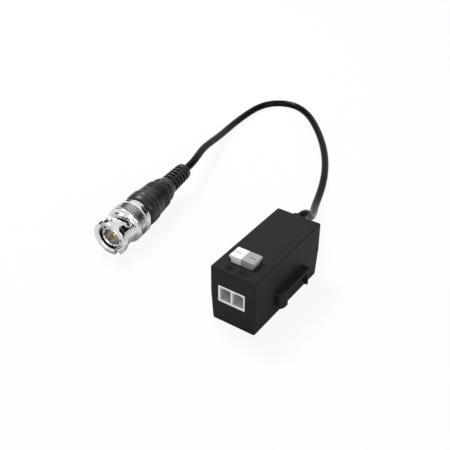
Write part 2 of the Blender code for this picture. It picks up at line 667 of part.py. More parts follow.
def rail_pocket():
    """Cutters for the pocket that a neighbour's rail enters, then slides forward in to lock."""
    wall_x = -HOUSING_WIDTH / 2
    depth = RAIL_STANDOFF - UNIT_SPACING + TOUCH_GAP
    lip = RAIL_STANDOFF - RAIL_PLATE - UNIT_SPACING - TOUCH_GAP
    front = FRONT_Y + RAIL_START - TOUCH_GAP
    rear = FRONT_Y + RAIL_START + RAIL_LENGTH + POCKET_SLIDE
    lip_top = RAIL_TOP - RAIL_BAR - TOUCH_GAP
    top = PARTING_HEIGHT + LIP_HEIGHT + OVERRUN
    hook_end = FRONT_Y + RAIL_START + RAIL_HOOK_REACH - TOUCH_GAP
    tab_end = FRONT_Y + RAIL_START + RAIL_LENGTH - RAIL_REAR_WEB - TOUCH_GAP
    tab_start = tab_end - RAIL_HOOK_REACH
    outer_x = wall_x - OVERRUN
    mouth_x = wall_x + lip + EMBED
    bottom = RAIL_FOOT - TOUCH_GAP
    return [
        block("pocket", CUTTERS, (wall_x + lip, front, bottom), (wall_x + depth, rear, top)),
        block("pocket_mouth", CUTTERS, (outer_x, hook_end, bottom), (mouth_x, tab_start, top)),
        block("pocket_rear_mouth", CUTTERS, (outer_x, tab_end, bottom), (mouth_x, rear, top)),
        block("pocket_bar_way", CUTTERS, (outer_x, front, lip_top), (mouth_x, rear, top)),
    ]


def base_inside():
    """The space in the lower shell, which stays clear of the walls round the pocket."""
    inside = shell_block("base_inside", CUTTERS, HOUSING_WIDTH - 2 * WALL, HOUSING_DEPTH - 2 * WALL,
                         WALL, PARTING_HEIGHT + LIP_HEIGHT + OVERRUN, inset=BASE_DRAFT)
    front = FRONT_Y + RAIL_START - TOUCH_GAP - POCKET_WALL
    rear = FRONT_Y + RAIL_START + RAIL_LENGTH + POCKET_SLIDE + POCKET_WALL
    jacket = block("pocket_jacket", CUTTERS, (-HOUSING_WIDTH, front, -OVERRUN),
                   (-HOUSING_WIDTH / 2 + JACKET_DEPTH, rear, HOUSING_HEIGHT))
    cut(inside, jacket)
    return inside


def base_lip():
    """The thin wall on the lower shell's edge that lines up the upper one."""
    width = HOUSING_WIDTH - 2 * WALL - 2 * FIT_GAP
    depth = HOUSING_DEPTH - 2 * WALL - 2 * FIT_GAP
    bottom = PARTING_HEIGHT - WALL
    top = PARTING_HEIGHT + LIP_HEIGHT
    lip = shell_block("base_lip", CUTTERS, width, depth, bottom, top)
    reach = 2 * (FIT_GAP + EMBED)
    join(lip, shell_block("base_lip_root", CUTTERS, width + reach, depth + reach, bottom, PARTING_HEIGHT))
    cut(lip, shell_block("base_lip_inside", CUTTERS, width - 2 * LIP_THICKNESS, depth - 2 * LIP_THICKNESS,
                         bottom - OVERRUN, top + OVERRUN))
    return lip


def board_ledge(name, side):
    """A ledge across the front or the rear of the floor, which the circuit board rests on."""
    inner = HOUSING_DEPTH / 2 - WALL - BASE_DRAFT - LEDGE_DEPTH
    outer = HOUSING_DEPTH / 2 - WALL
    ys = sorted((side * inner, side * outer))
    low = (BOARD_LEFT, ys[0], WALL - EMBED)
    high = (BOARD_RIGHT, ys[1], BOARD_HEIGHT - TOUCH_GAP)
    return block(name, CUTTERS, low, high)


def make_base():
    """The lower shell, drafted towards the base, with the rail, the pocket and the snap hooks."""
    base = shell_block("housing_base", PARTS, HOUSING_WIDTH, HOUSING_DEPTH, 0, PARTING_HEIGHT,
                       inset=BASE_DRAFT, radius=EDGE_RADIUS, square_end="top")
    cut(base, base_inside())
    join(base, base_lip())
    for index, (side, y) in enumerate(snap_places()):
        join(base, snap_hook(index, side, y))
    join(base, board_ledge("front_ledge", -1), board_ledge("rear_ledge", 1), rail_hood())
    cut(base, *rail_pocket(), port_window())
    return as_part(base, BLACK_PLASTIC, 30)


def entry_cutter(index, x):
    """A wire entry: straight sides under a low arch, with a funnel at its mouth."""
    half = ENTRY_WIDTH / 2
    spring_line = ENTRY_FLOOR + ENTRY_HEIGHT
    radius = (half * half + ENTRY_ARCH * ENTRY_ARCH) / (2 * ENTRY_ARCH)
    spread = math.degrees(math.asin(half / radius))
    arch = arc((x, spring_line + ENTRY_ARCH - radius), radius, 90 - spread, 90 + spread, steps=6)
    outline = [(x - half, ENTRY_FLOOR), (x + half, ENTRY_FLOOR)] + arch
    channel = plate(f"entry_{index}", CUTTERS, outline, -CHANNEL_END, -FRONT_Y + OVERRUN, FACE_ON)
    bm = bmesh.new()
    shape = Matrix.Translation((x, FRONT_Y, PORT_MIDDLE)) @ Matrix.Diagonal(
        (ENTRY_WIDTH, 2 * ENTRY_FUNNEL, ENTRY_HEIGHT + ENTRY_ARCH, 1))
    bmesh.ops.create_cube(bm, size=1, matrix=shape)
    for v in bm.verts:
        if v.co.y < FRONT_Y:
            v.co.x += math.copysign(2 * ENTRY_FUNNEL, v.co.x - x)
            v.co.z += math.copysign(2 * ENTRY_FUNNEL, v.co.z - PORT_MIDDLE)
    funnel = place(mesh_object(f"entry_funnel_{index}", bm), CUTTERS)
    return [channel, funnel]


def make_terminal():
    """The terminal block: its face fills the port, and its buttons' shaft opens upwards."""
    inner_front = FRONT_Y + WALL + BASE_DRAFT + TOUCH_GAP
    lower_rear = inner_front + TERMINAL_LOWER_DEPTH
    upper_rear = inner_front + TERMINAL_UPPER_DEPTH
    bottom = BOARD_TOP + TOUCH_GAP
    top = ROOF_Z - TOUCH_GAP
    port_top = PORT_BOTTOM + PORT_HEIGHT
    face = FRONT_Y + PORT_RECESS
    outline = [
        (inner_front, bottom),
        (lower_rear, bottom),
        (lower_rear, TERMINAL_SHOULDER_HEIGHT),
        (upper_rear, TERMINAL_SHOULDER_HEIGHT),
        (upper_rear, top),
        (inner_front, top),
        (inner_front, port_top),
        (face, port_top),
        (face, PORT_BOTTOM),
        (inner_front, PORT_BOTTOM),
    ]
    half = TERMINAL_WIDTH / 2
    body = plate("terminal_body", PARTS, outline, TERMINAL_X - half, TERMINAL_X + half, ALONG_X)

    stem_rear = STEM_FRONT + STEM_LENGTH
    shaft_half = STEM_HALF_WIDTH + TOUCH_GAP
    mouth = block("shaft_mouth", CUTTERS,
                  (TERMINAL_X - shaft_half, STEM_FRONT - TOUCH_GAP, STEM_FOOT),
                  (TERMINAL_X + shaft_half, stem_rear + TOUCH_GAP, top + OVERRUN))
    flange_top = STEM_FOOT + FLANGE_THICKNESS + TOUCH_GAP
    flange_way = FLANGE_REACH + TOUCH_GAP
    shaft = block("shaft", CUTTERS,
                  (TERMINAL_X - shaft_half, STEM_FRONT - flange_way, STEM_FOOT - BUTTON_TRAVEL - TOUCH_GAP),
                  (TERMINAL_X + shaft_half, stem_rear + flange_way, flange_top))
    cut(body, mouth, shaft)
    for index, x in enumerate(POLE_XS):
        tip_half = TIP_WIDTH / 2 + TOUCH_GAP
        well = block(f"clamp_well_{index}", CUTTERS,
                     (x - tip_half, STEM_FRONT, TERMINAL_SHOULDER_HEIGHT + TOUCH_GAP),
                     (x + tip_half, stem_rear + FLANGE_REACH, STEM_FOOT))
        pin_half = CONTACT_WIDTH / 2 + TOUCH_GAP
        slot = block(f"pin_slot_{index}", CUTTERS,
                     (x - pin_half, PIN_SLOT_FRONT, bottom - OVERRUN),
                     (x + pin_half, CHANNEL_END, ENTRY_FLOOR + EMBED))
        cut(body, *entry_cutter(index, x), well, slot)
    return as_part(body, WHITE_PLASTIC, 30)


def make_button(name, side, groove_shares, material):
    """A push button: a grooved cap over a flanged stem, with a tip that opens the clamp below it."""
    edges = sorted((side * STEM_SPLIT, side * STEM_HALF_WIDTH))
    under_cap = HOUSING_HEIGHT + CAP_TOP_HEIGHT - CAP_THICKNESS
    rear = STEM_FRONT + STEM_LENGTH
    flange_top = STEM_FOOT + FLANGE_THICKNESS
    outline = [
        (STEM_FRONT - FLANGE_REACH, STEM_FOOT),
        (rear + FLANGE_REACH, STEM_FOOT),
        (rear + FLANGE_REACH, flange_top),
        (rear, flange_top),
        (rear, under_cap + EMBED),
        (STEM_FRONT, under_cap + EMBED),
        (STEM_FRONT, flange_top),
        (STEM_FRONT - FLANGE_REACH, flange_top),
    ]
    button = plate(name, PARTS, outline, TERMINAL_X + edges[0], TERMINAL_X + edges[1], ALONG_X)

    pole_x = TERMINAL_X + side * POLE_PITCH / 2
    wedge = [
        (STEM_MIDDLE - TIP_LENGTH / 2, STEM_FOOT + EMBED),
        (STEM_MIDDLE, TIP_FOOT),
        (STEM_MIDDLE + TIP_LENGTH / 2, TIP_FOOT),
        (STEM_MIDDLE + TIP_LENGTH / 2, STEM_FOOT + EMBED),
    ]
    tip = plate(f"{name}_tip", CUTTERS, wedge, pole_x - TIP_WIDTH / 2, pole_x + TIP_WIDTH / 2, ALONG_X)

    cap_top = under_cap + CAP_THICKNESS
    profile = [
        (CAP_SPLIT, under_cap),
        (STEM_HALF_WIDTH - EMBED, under_cap - CAP_EDGE),
        (STEM_HALF_WIDTH, under_cap - CAP_EDGE),
        (BUTTON_HOLE_HALF_WIDTH - TOUCH_GAP, under_cap),
        (CAP_HALF_WIDTH, under_cap + CAP_EDGE),
        (CAP_HALF_WIDTH, cap_top - CAP_EDGE),
        (CAP_HALF_WIDTH - CAP_EDGE, cap_top),
        (CAP_SPLIT, cap_top),
    ]
    profile = [(TERMINAL_X + side * u, v) for u, v in profile]
    cap = plate(f"{name}_cap", CUTTERS, profile, -STEM_MIDDLE - CAP_LENGTH / 2,
                -STEM_MIDDLE + CAP_LENGTH / 2, FACE_ON)
    reach = [side * share * CAP_HALF_WIDTH for share in groove_shares]
    if groove_shares[1] == 1:
        reach[1] += side * OVERRUN
    xs = sorted(TERMINAL_X + u for u in reach)
    groove = block(f"{name}_groove", CUTTERS,
                   (xs[0], STEM_MIDDLE - CAP_GROOVE_WIDTH / 2, cap_top - CAP_GROOVE_DEPTH),
                   (xs[1], STEM_MIDDLE + CAP_GROOVE_WIDTH / 2, cap_top + OVERRUN))
    join(button, tip, cap)
    cut(button, groove)
    return as_part(button, material, 30)


def make_contact(name, x):
    """A bent contact: a plate along the entry's floor and a pin through the circuit board."""
    rear = CHANNEL_END - TOUCH_GAP
    front = rear - CONTACT_LENGTH
    plate_bottom = ENTRY_FLOOR + TOUCH_GAP
    pin_foot = BOARD_HEIGHT - CONTACT_PIN_BELOW
    outline = [
        (front, plate_bottom),
        (rear - CONTACT_PIN_LENGTH, plate_bottom),
        (rear - CONTACT_PIN_LENGTH, pin_foot),
        (rear, pin_foot),
        (rear, CONTACT_TOP),
        (front, CONTACT_TOP),
    ]
    half = CONTACT_WIDTH / 2
    return as_part(plate(name, PARTS, outline, x - half, x + half, ALONG_X), TINNED_BRASS)


def make_clamp(name, x):
    """A folded clamp spring: it stands on the shoulder, loops over and bears on the wire's place."""
    rear = STEM_FRONT + STEM_LENGTH + FLANGE_REACH - TOUCH_GAP - CLAMP_THICKNESS
    foot = TERMINAL_SHOULDER_HEIGHT + 2 * TOUCH_GAP
    crown = TIP_FOOT - TOUCH_GAP - CLAMP_THICKNESS
    reach = (CHANNEL_END - CONTACT_LENGTH / 2, CONTACT_TOP + 2 * TOUCH_GAP)
    bend = (crown - foot) / 3
    line = [(rear, foot), (rear, crown - bend)]
    line += arc((rear - bend, crown - bend), bend, *CLAMP_BEND_ANGLES)
    line += [reach]
    half = CLAMP_WIDTH / 2
    bm = bmesh.new()
    sides = [[bm.verts.new((x + side * half, y, z)) for y, z in line] for side in (-1, 1)]
    for i in range(len(line) - 1):
        bm.faces.new((sides[0][i], sides[0][i + 1], sides[1][i + 1], sides[1][i]))
    mesh = bpy.data.meshes.new(name)
    bm.to_mesh(mesh)
    bm.free()
    clamp = place(bpy.data.objects.new(name, mesh), PARTS)
    skin = clamp.modifiers.new("strip", "SOLIDIFY")
    skin.thickness = CLAMP_THICKNESS
    skin.offset = 0
    return as_part(clamp, SPRING_STEEL)


def make_board():
    """The circuit board, with slots for the two contact pins."""
    board = block("circuit_board", PARTS, (BOARD_LEFT, -BOARD_HALF_DEPTH, BOARD_HEIGHT),
                  (BOARD_RIGHT, BOARD_HALF_DEPTH, BOARD_TOP))
    for index, x in enumerate(POLE_XS):
        half = CONTACT_WIDTH / 2 + TOUCH_GAP
        cut(board, block(f"board_slot_{index}", CUTTERS,
                         (x - half, PIN_SLOT_FRONT, BOARD_HEIGHT - OVERRUN),
                         (x + half, CHANNEL_END, BOARD_TOP + OVERRUN)))
    return as_part(board, BOARD_GREEN)


def winding_offset():
    """How far a winding's centre line stays from the core."""
    return WINDING_WIRE_RADIUS + TOUCH_GAP


def core_bottom():
    return BOARD_TOP + TOUCH_GAP + WINDING_WIRE_RADIUS + winding_offset()


def make_core():
    """The transformer's ring core, lying over the circuit board."""
    low = core_bottom()
    high = low + CORE_HEIGHT
    outer, inner, edge = CORE_OUTER_RADIUS, CORE_INNER_RADIUS, CORE_EDGE
    profile = [
        (outer, high - edge), (outer, low + edge), (outer - edge, low), (inner + edge, low),
        (inner, low + edge), (inner, high - edge), (inner + edge, high), (outer - edge, high),
    ]
    seat = Matrix.Translation((BOARD_MIDDLE_X, CORE_Y, 0))
    core = turned("transformer_core", PARTS, profile, steps=28, matrix=seat)
    return as_part(core, FERRITE, 30)


def make_winding(name, middle, material):
    """Turns of enamelled wire round a part of the core, with both ends brought to the board."""
    start, end = middle - WINDING_HALF_SPAN, middle + WINDING_HALF_SPAN
    away = winding_offset()
    middle_r = (CORE_OUTER_RADIUS + CORE_INNER_RADIUS) / 2
    half_r = (CORE_OUTER_RADIUS - CORE_INNER_RADIUS) / 2 + away
    half_z = CORE_HEIGHT / 2 + away
    c = WINDING_CORNER
    loop = [
        (half_r, -half_z + c), (half_r, half_z - c), (half_r - c, half_z), (-half_r + c, half_z),
        (-half_r, half_z - c), (-half_r, -half_z + c), (-half_r + c, -half_z), (half_r - c, -half_z),
    ]
    middle_z = core_bottom() + CORE_HEIGHT / 2
    count = WINDING_TURNS * len(loop)

    def point(r, z, turn):
        angle = math.radians(start + (end - start) * turn / count)
        return Vector((BOARD_MIDDLE_X + r * math.cos(angle), CORE_Y + r * math.sin(angle), z))

    foot = BOARD_TOP + TOUCH_GAP + WINDING_WIRE_RADIUS
    outer = middle_r + half_r + WINDING_LEAD
    route = [point(outer, foot, 0), point(middle_r + half_r, middle_z - half_z + c, 0)]
    for i in range(1, count):
        r, z = loop[i % len(loop)]
        route.append(point(middle_r + r, middle_z + z, i))
    route.append(point(middle_r + half_r, middle_z - half_z + c, count))
    route.append(point(outer, foot, count))
    return as_part(tube(name, PARTS, route, WINDING_WIRE_RADIUS, resolution=1), material, 60)


def make_disc_capacitor(x, y):
    """A disc on two straight leads."""
    middle = BOARD_TOP + COMPONENT_LIFT + DISC_RADIUS + LEAD_SPAN
    edge = DISC_THICKNESS / 4
    half = DISC_THICKNESS / 2
    profile = [(0, -half), (DISC_RADIUS - edge, -half), (DISC_RADIUS, -half + edge),
               (DISC_RADIUS, half - edge), (DISC_RADIUS - edge, half), (0, half)]
    seat = Matrix.Translation((x, y, middle)) @ ALONG_Y
    disc = turned("disc_capacitor", PARTS, profile, steps=20, matrix=seat)
    for side in (-1, 1):
        foot = Vector((x + side * DISC_RADIUS / 2, y, BOARD_TOP + TOUCH_GAP))
        head = foot.copy()
        head.z = middle - DISC_RADIUS / 2
        join(disc, tube(f"disc_lead_{side}", CUTTERS, [foot, head], LEAD_RADIUS, resolution=1))
    return as_part(disc, DISC_BLUE, 40)


def make_axial(name, x, y, radius, length, material):
    """A round component body along X, on leads that bend down to the board."""
    middle = BOARD_TOP + COMPONENT_LIFT + radius
    half = length / 2
    edge = radius / 4
    profile = [(0, -half), (radius - edge, -half), (radius, -half + edge),
               (radius, half - edge), (radius - edge, half), (0, half)]
    seat = Matrix.Translation((x, y, middle)) @ ALONG_X
    body = turned(name, PARTS, profile, steps=16, matrix=seat)
    for side in (-1, 1):
        reach = half + LEAD_SPAN
        bend = LEAD_SPAN / 3
        route = [
            Vector((x + side * half / 2, y, middle)),
            Vector((x + side * (reach - bend), y, middle)),
            Vector((x + side * reach, y, middle - bend)),
            Vector((x + side * reach, y, BOARD_TOP + TOUCH_GAP)),
        ]
        join(body, tube(f"{name}_lead_{side}", CUTTERS, route, LEAD_RADIUS, resolution=1))
    return as_part(body, material, 40)


def make_components():
    """What stands on the circuit board before and behind the transformer."""
    front_row = CORE_Y - CORE_OUTER_RADIUS - 2 * winding_offset() - DIODE_RADIUS - TOUCH_GAP
    make_axial("suppressor_diode", BOARD_MIDDLE_X, front_row, DIODE_RADIUS, DIODE_LENGTH, DIODE_BLACK)
    make_disc_capacitor(BOARD_MIDDLE_X, front_row - DIODE_RADIUS - DISC_THICKNESS)
    rear_row = CORE_Y + CORE_OUTER_RADIUS + 3 * winding_offset() + RESISTOR_RADIUS + TOUCH_GAP
    pitch = 2 * RESISTOR_RADIUS + 2 * TOUCH_GAP
    for index in range(2):
        make_axial(f"resistor_{index + 1}", BOARD_MIDDLE_X, rear_row + index * pitch,
                   RESISTOR_RADIUS, RESISTOR_LENGTH, RESISTOR_TAN)


def make_lead_end():
    """The lead's end inside the housing: jacket, crimp ring and the two wires to the board."""
    start = REAR_Y + COLLAR_LENGTH
    end = REAR_Y - WALL - CABLE_TAIL
    seat = Matrix.Translation((COLLAR_X, end, COLLAR_HEIGHT)) @ ALONG_Y
    jacket = turned("lead_inner_end", PARTS,
                    [(0, 0), (CABLE_RADIUS, 0), (CABLE_RADIUS, start - end), (0, start - end)],
                    steps=20, matrix=seat)
    as_part(jacket, BLACK_PVC, 30)

    ring_end = REAR_Y - WALL - TOUCH_GAP
    bore = CABLE_RADIUS + FIT_GAP
    outer = bore + CRIMP_RING_WALL
    ring_seat = Matrix.Translation((COLLAR_X, ring_end - CRIMP_RING_LENGTH, COLLAR_HEIGHT)) @ ALONG_Y
    ring = turned("lead_crimp_ring", PARTS,
                  [(bore, 0), (outer, 0), (outer, CRIMP_RING_LENGTH), (bore, CRIMP_RING_LENGTH)],
                  steps=20, matrix=ring_seat)
    as_part(ring, TINNED_BRASS, 30)

    top = COLLAR_HEIGHT
    foot = BOARD_TOP + TOUCH_GAP
    drop = top - foot
    turn = 2 * CABLE_RADIUS
    wires = (
        ("lead_core_wire", CORE_WIRE_RADIUS, COLLAR_X + CABLE_RADIUS / 2, 2 * CABLE_RADIUS, WHITE_WIRE),
        ("lead_braid_wire", BRAID_WIRE_RADIUS, COLLAR_X - CABLE_RADIUS / 2, -CABLE_RADIUS / 3, COPPER_BRAID),
    )
    for name, radius, x, drift, material in wires:
        out = end - TOUCH_GAP
        knots = [
            (x, out, top),
            (x, out - radius * 2, top),
            (x + drift / 4, out - turn / 2, top - turn / 3),
            (x + drift / 2, out - turn / 2, top - drop / 2),
            (x + drift, out - turn / 4, foot + radius * 3),
            (x + drift, out - turn / 4, foot),
        ]
        as_part(tube(name, PARTS, smooth_route(knots, 14), radius, resolution=1), material, 60)


def plug_frame():
    """An empty at the plug's mouth, with its Z along the plug's axis towards the boot."""
    axis = Vector((math.cos(PLUG_TILT) * math.cos(PLUG_YAW), math.cos(PLUG_TILT) * math.sin(PLUG_YAW),
                   math.sin(PLUG_TILT)))
    height = (TOUCH_GAP + NUT_RADIUS * math.cos(PLUG_TILT)
              - NUT_DRUM_START * math.sin(PLUG_TILT))
    frame = bpy.data.objects.new("plug_axis", None)
    frame.rotation_mode = "QUATERNION"
    frame.rotation_quaternion = axis.to_track_quat("Z", "Y")
    frame.location = (PLUG_MOUTH_X, PLUG_MOUTH_Y, height)
    bpy.context.scene.collection.objects.link(frame)
    bpy.context.view_layer.update()
    return frame


def ring_piece(name, inner, outer, start, end, material, frame, steps=ROUND_STEPS):
    profile = [(inner, start), (outer, start), (outer, end), (inner, end)]
    return as_part(turned(name, PARTS, profile, steps, parent=frame), material, 30)


def slot_leg(name, start, end, steps, frame):
    """One straight or helical run of a bayonet slot, between two (station, angle) places. Its
    section is a radial slab that goes through the nut's wall."""
    inner = NUT_BORE_RADIUS - OVERRUN
    outer = NUT_RIM_RADIUS + OVERRUN
    middle = (NUT_BORE_RADIUS + NUT_SLEEVE_RADIUS) / 2
    run = Vector(((end[1] - start[1]) * middle, end[0] - start[0])).normalized()
    across_angle = run.y * SLOT_WIDTH / 2 / middle
    across_station = -run.x * SLOT_WIDTH / 2
    bm = bmesh.new()
    rings = []
    for i in range(steps + 1):
        station = start[0] + (end[0] - start[0]) * i / steps
        angle = start[1] + (end[1] - start[1]) * i / steps
        corners = []
        for radius, side in ((inner, -1), (outer, -1), (outer, 1), (inner, 1)):
            a = angle + side * across_angle
            z = station + side * across_station
            corners.append(bm.verts.new((radius * math.cos(a), radius * math.sin(a), z)))
        rings.append(corners)
    for before, after in zip(rings, rings[1:]):
        for k in range(4):
            bm.faces.new((before[k], before[(k + 1) % 4], after[(k + 1) % 4], after[k]))
    bm.faces.new(rings[0])
    bm.faces.new(rings[-1])
    return place(mesh_object(name, bm), CUTTERS, None, frame)


def radial_hole(name, station, angle, radius, frame):
    """A round cutter that points out from the plug's axis."""
    reach = NUT_RADIUS + OVERRUN
    start = NUT_BORE_RADIUS - OVERRUN
    turn = Matrix.Rotation(angle, 4, "Z") @ Matrix.Translation((0, 0, station)) @ ALONG_X
    profile = [(0, start), (radius, start), (radius, reach), (0, reach)]
    return turned(name, CUTTERS, profile, steps=16, matrix=turn, parent=frame)


def knurl(nut):
    """Presses every other line of the drum inwards, between its two plain bands."""
    first = NUT_DRUM_START + NUT_FRONT_BAND
    last = NUT_LENGTH - NUT_REAR_BAND
    step = math.pi / KNURL_COUNT
    for v in nut.data.vertices:
        radius = math.hypot(v.co.x, v.co.y)
        line = round(math.atan2(v.co.y, v.co.x) / step)
        if radius > NUT_SLEEVE_RADIUS + KNURL_DEPTH / 2 and first < v.co.z < last and line % 2:
            v.co.x *= (radius - KNURL_DEPTH) / radius
            v.co.y *= (radius - KNURL_DEPTH) / radius


def make_nut(frame):
    """The coupling nut: a knurled drum, a sleeve with two bayonet slots and a rolled front rim."""
    band = NUT_DRUM_START + NUT_FRONT_BAND
    last_band = NUT_LENGTH - NUT_REAR_BAND
    ramp = NUT_EDGE / 2
    groove_end = CLIP_START + CLIP_THICKNESS + FIT_GAP
    groove_radius = NUT_CHAMBER_RADIUS + CLIP_GROOVE_DEPTH
    outside = [
        (NUT_RIM_RADIUS - NUT_EDGE, 0),
        (NUT_RIM_RADIUS, NUT_EDGE),
        (NUT_RIM_RADIUS, NUT_RIM_LENGTH - NUT_EDGE),
        (NUT_SLEEVE_RADIUS, NUT_RIM_LENGTH),
        (NUT_SLEEVE_RADIUS, NUT_DRUM_START - NUT_DRUM_RAMP),
        (NUT_RADIUS - NUT_EDGE, NUT_DRUM_START - NUT_EDGE),
        (NUT_RADIUS, NUT_DRUM_START),
        (NUT_RADIUS, band - ramp),
        (NUT_RADIUS, band + ramp),
        (NUT_RADIUS, last_band - ramp),
        (NUT_RADIUS, last_band + ramp),
        (NUT_RADIUS, NUT_LENGTH - NUT_EDGE),
        (NUT_RADIUS - NUT_EDGE, NUT_LENGTH),
    ]
    inside = [
        (NUT_CHAMBER_RADIUS, NUT_LENGTH),
        (NUT_CHAMBER_RADIUS, groove_end),
        (groove_radius, groove_end),
        (groove_radius, CLIP_START - FIT_GAP),
        (NUT_CHAMBER_RADIUS, CLIP_START - FIT_GAP),
        (NUT_CHAMBER_RADIUS, NUT_SHOULDER),
        (NUT_BORE_RADIUS, NUT_SHOULDER),
        (NUT_BORE_RADIUS, NUT_MOUTH_CHAMFER),
        (NUT_BORE_RADIUS + NUT_MOUTH_CHAMFER, 0),
    ]
    nut = turned("coupling_nut", PARTS, outside + inside, steps=2 * KNURL_COUNT, parent=frame)
    knurl(nut)
    for index in range(SLOT_COUNT):
        angle = SLOT_START + 2 * math.pi * index / SLOT_COUNT
        corner = (SLOT_ENTRY, angle)
        far = (SLOT_END, angle + SLOT_SWEEP)
        cut(
            nut,
            slot_leg(f"slot_entry_{index}", (-OVERRUN, angle), (SLOT_ENTRY + EMBED, angle), 1, frame),
            slot_leg(f"slot_ramp_{index}", corner, far, 8, frame),
            radial_hole(f"slot_corner_{index}", *corner, SLOT_WIDTH / 2 + SLOT_CORNER_RELIEF, frame),
            radial_hole(f"slot_end_{index}", *far, SLOT_END_RADIUS, frame),
        )
    return as_part(nut, NICKEL, 30)


def make_clip(frame):
    """The open retaining ring that holds the washers in the nut."""
    inner = BARREL_RADIUS + TOUCH_GAP
    outer = NUT_CHAMBER_RADIUS + CLIP_GROOVE_DEPTH - FIT_GAP
    clip = ring_piece("retaining_ring", inner, outer, CLIP_START, CLIP_START + CLIP_THICKNESS,
                      SPRING_STEEL, frame)
    opening = block("clip_opening", CUTTERS,
                    (0, -CLIP_OPENING / 2, CLIP_START - OVERRUN),
                    (outer + OVERRUN, CLIP_OPENING / 2, NUT_LENGTH), parent=frame)
    cut(clip, opening)
    return clip


def make_wave_washer(frame):
    """The wavy spring washer behind the body's flange."""
    start = WASHER_START - TOUCH_GAP - WAVE_HEIGHT
    washer = ring_piece("wave_washer", BARREL_RADIUS + TOUCH_GAP, WASHER_RADIUS - FIT_GAP,
                        start, start + WAVE_THICKNESS, SPRING_STEEL, frame, steps=36)
    rise = (WAVE_HEIGHT - WAVE_THICKNESS) / 2
    for v in washer.data.vertices:
        v.co.z += rise * (1 - math.cos(WAVE_COUNT * math.atan2(v.co.y, v.co.x)))
    return washer


def make_plug_body(frame):
    """The plug's body: slotted sleeve, flange, barrel, bright collar and the rear stem."""
    spigot_end = BODY_COLLAR_END + SPIGOT_LENGTH
    stem_end = spigot_end + STEM_TUBE_LENGTH
    flange_end = BODY_FLANGE_START + FLANGE_LENGTH
    pin_way = PIN_RADIUS + FIT_GAP
    profile = [
        (SLEEVE_BORE_RADIUS, SLEEVE_START),
        (SLEEVE_RADIUS - NUT_EDGE, SLEEVE_START),
        (SLEEVE_RADIUS, SLEEVE_START + NUT_EDGE),
        (SLEEVE_RADIUS, BODY_FLANGE_START),
        (FLANGE_RADIUS, BODY_FLANGE_START),
        (FLANGE_RADIUS, flange_end),
        (BARREL_RADIUS, flange_end),
        (BARREL_RADIUS, BODY_COLLAR_START),
        (COLLAR_RING_RADIUS - NUT_EDGE, BODY_COLLAR_START),
        (COLLAR_RING_RADIUS, BODY_COLLAR_START + NUT_EDGE),
        (COLLAR_RING_RADIUS, BODY_COLLAR_END),
        (SPIGOT_RADIUS, BODY_COLLAR_END),
        (SPIGOT_RADIUS, spigot_end),
        (STEM_TUBE_RADIUS, spigot_end),
        (STEM_TUBE_RADIUS, stem_end),
        (pin_way, stem_end),
        (pin_way, BARREL_BORE_END),
        (SLEEVE_BORE_RADIUS, BARREL_BORE_END),
    ]
    body = turned("plug_body", PARTS, profile, parent=frame)
    slit = SLEEVE_SLIT / 2
    reach = SLEEVE_RADIUS + OVERRUN
    end = SLEEVE_START + SLEEVE_SLIT_LENGTH
    cut(body,
        block("sleeve_slit_a", CUTTERS, (-slit, -reach, 0), (slit, reach, end), parent=frame),
        block("sleeve_slit_b", CUTTERS, (-reach, -slit, 0), (reach, slit, end), parent=frame))
    return as_part(body, NICKEL, 30)


def make_contact_parts(frame):
    """The centre pin and the insulator round it."""
    end = PIN_START + PIN_LENGTH
    pin = turned("center_pin", PARTS, [
        (0, PIN_START),
        (PIN_RADIUS / 3, PIN_START),
        (PIN_RADIUS, PIN_START + PIN_NOSE),
        (PIN_RADIUS, end),
        (0, end),
    ], steps=16, parent=frame)
    as_part(pin, GOLD, 30)
    ring_piece("insulator", PIN_RADIUS + FIT_GAP, SLEEVE_BORE_RADIUS - FIT_GAP, INSULATOR_START,
               BARREL_BORE_END - FIT_GAP, PTFE, frame, steps=24)


def tail_radius(station):
    """The ribbed tail's radius at a station behind the boot's front face."""
    share = (station - BOOT_BULB_END) / (BOOT_LENGTH - BOOT_BULB_END)
    return BOOT_WAIST_RADIUS + (BOOT_TAIL_REAR_RADIUS - BOOT_WAIST_RADIUS) * share


def fine_grooves(taper_start, taper_end, start_radius):
    """Points of the fine grooves near the end of the boot's main taper."""
    points = []
    slope = (BOOT_TAPER_RADIUS - start_radius) / (taper_end - taper_start)
    last = taper_end - BOOT_SHOULDER - BOOT_FINE_PITCH / 2
    for i in range(BOOT_FINE_GROOVES):
        middle = last - (BOOT_FINE_GROOVES - 1 - i) * BOOT_FINE_PITCH
        for offset, depth in ((-1, 0), (0, BOOT_FINE_DEPTH), (1, 0)):
            station = middle + offset * BOOT_FINE_PITCH / 4
            points.append((start_radius + slope * (station - taper_start) - depth, station))
    return points


def boot_slots(frame):
    """Rings cut into the tail so that it bends, each stopped at two opposite bridges."""
    floor = CABLE_RADIUS + TOUCH_GAP + BOOT_SLOT_WALL
    reach = BOOT_WAIST_RADIUS + OVERRUN
    turn = Matrix.Rotation(BOOT_BRIDGE_ANGLE, 4, "Z")
    slots = []
    for row in range(BOOT_SLOT_ROWS):
        middle = BOOT_START + BOOT_BULB_END + BOOT_SLOT_FIRST + row * BOOT_SLOT_PITCH
        low, high = middle - BOOT_SLOT_WIDTH / 2, middle + BOOT_SLOT_WIDTH / 2
        ring = turned(f"boot_slot_{row}", CUTTERS, [(floor, low), (reach, low), (reach, high), (floor, high)],
                      steps=BOOT_STEPS, parent=frame)
        cut(ring, block(f"boot_bridge_{row}", CUTTERS, (-2 * reach, -BOOT_BRIDGE_HALF, low - OVERRUN),
                        (2 * reach, BOOT_BRIDGE_HALF, high + OVERRUN), parent=frame, matrix=turn))
        slots.append(ring)
    return slots


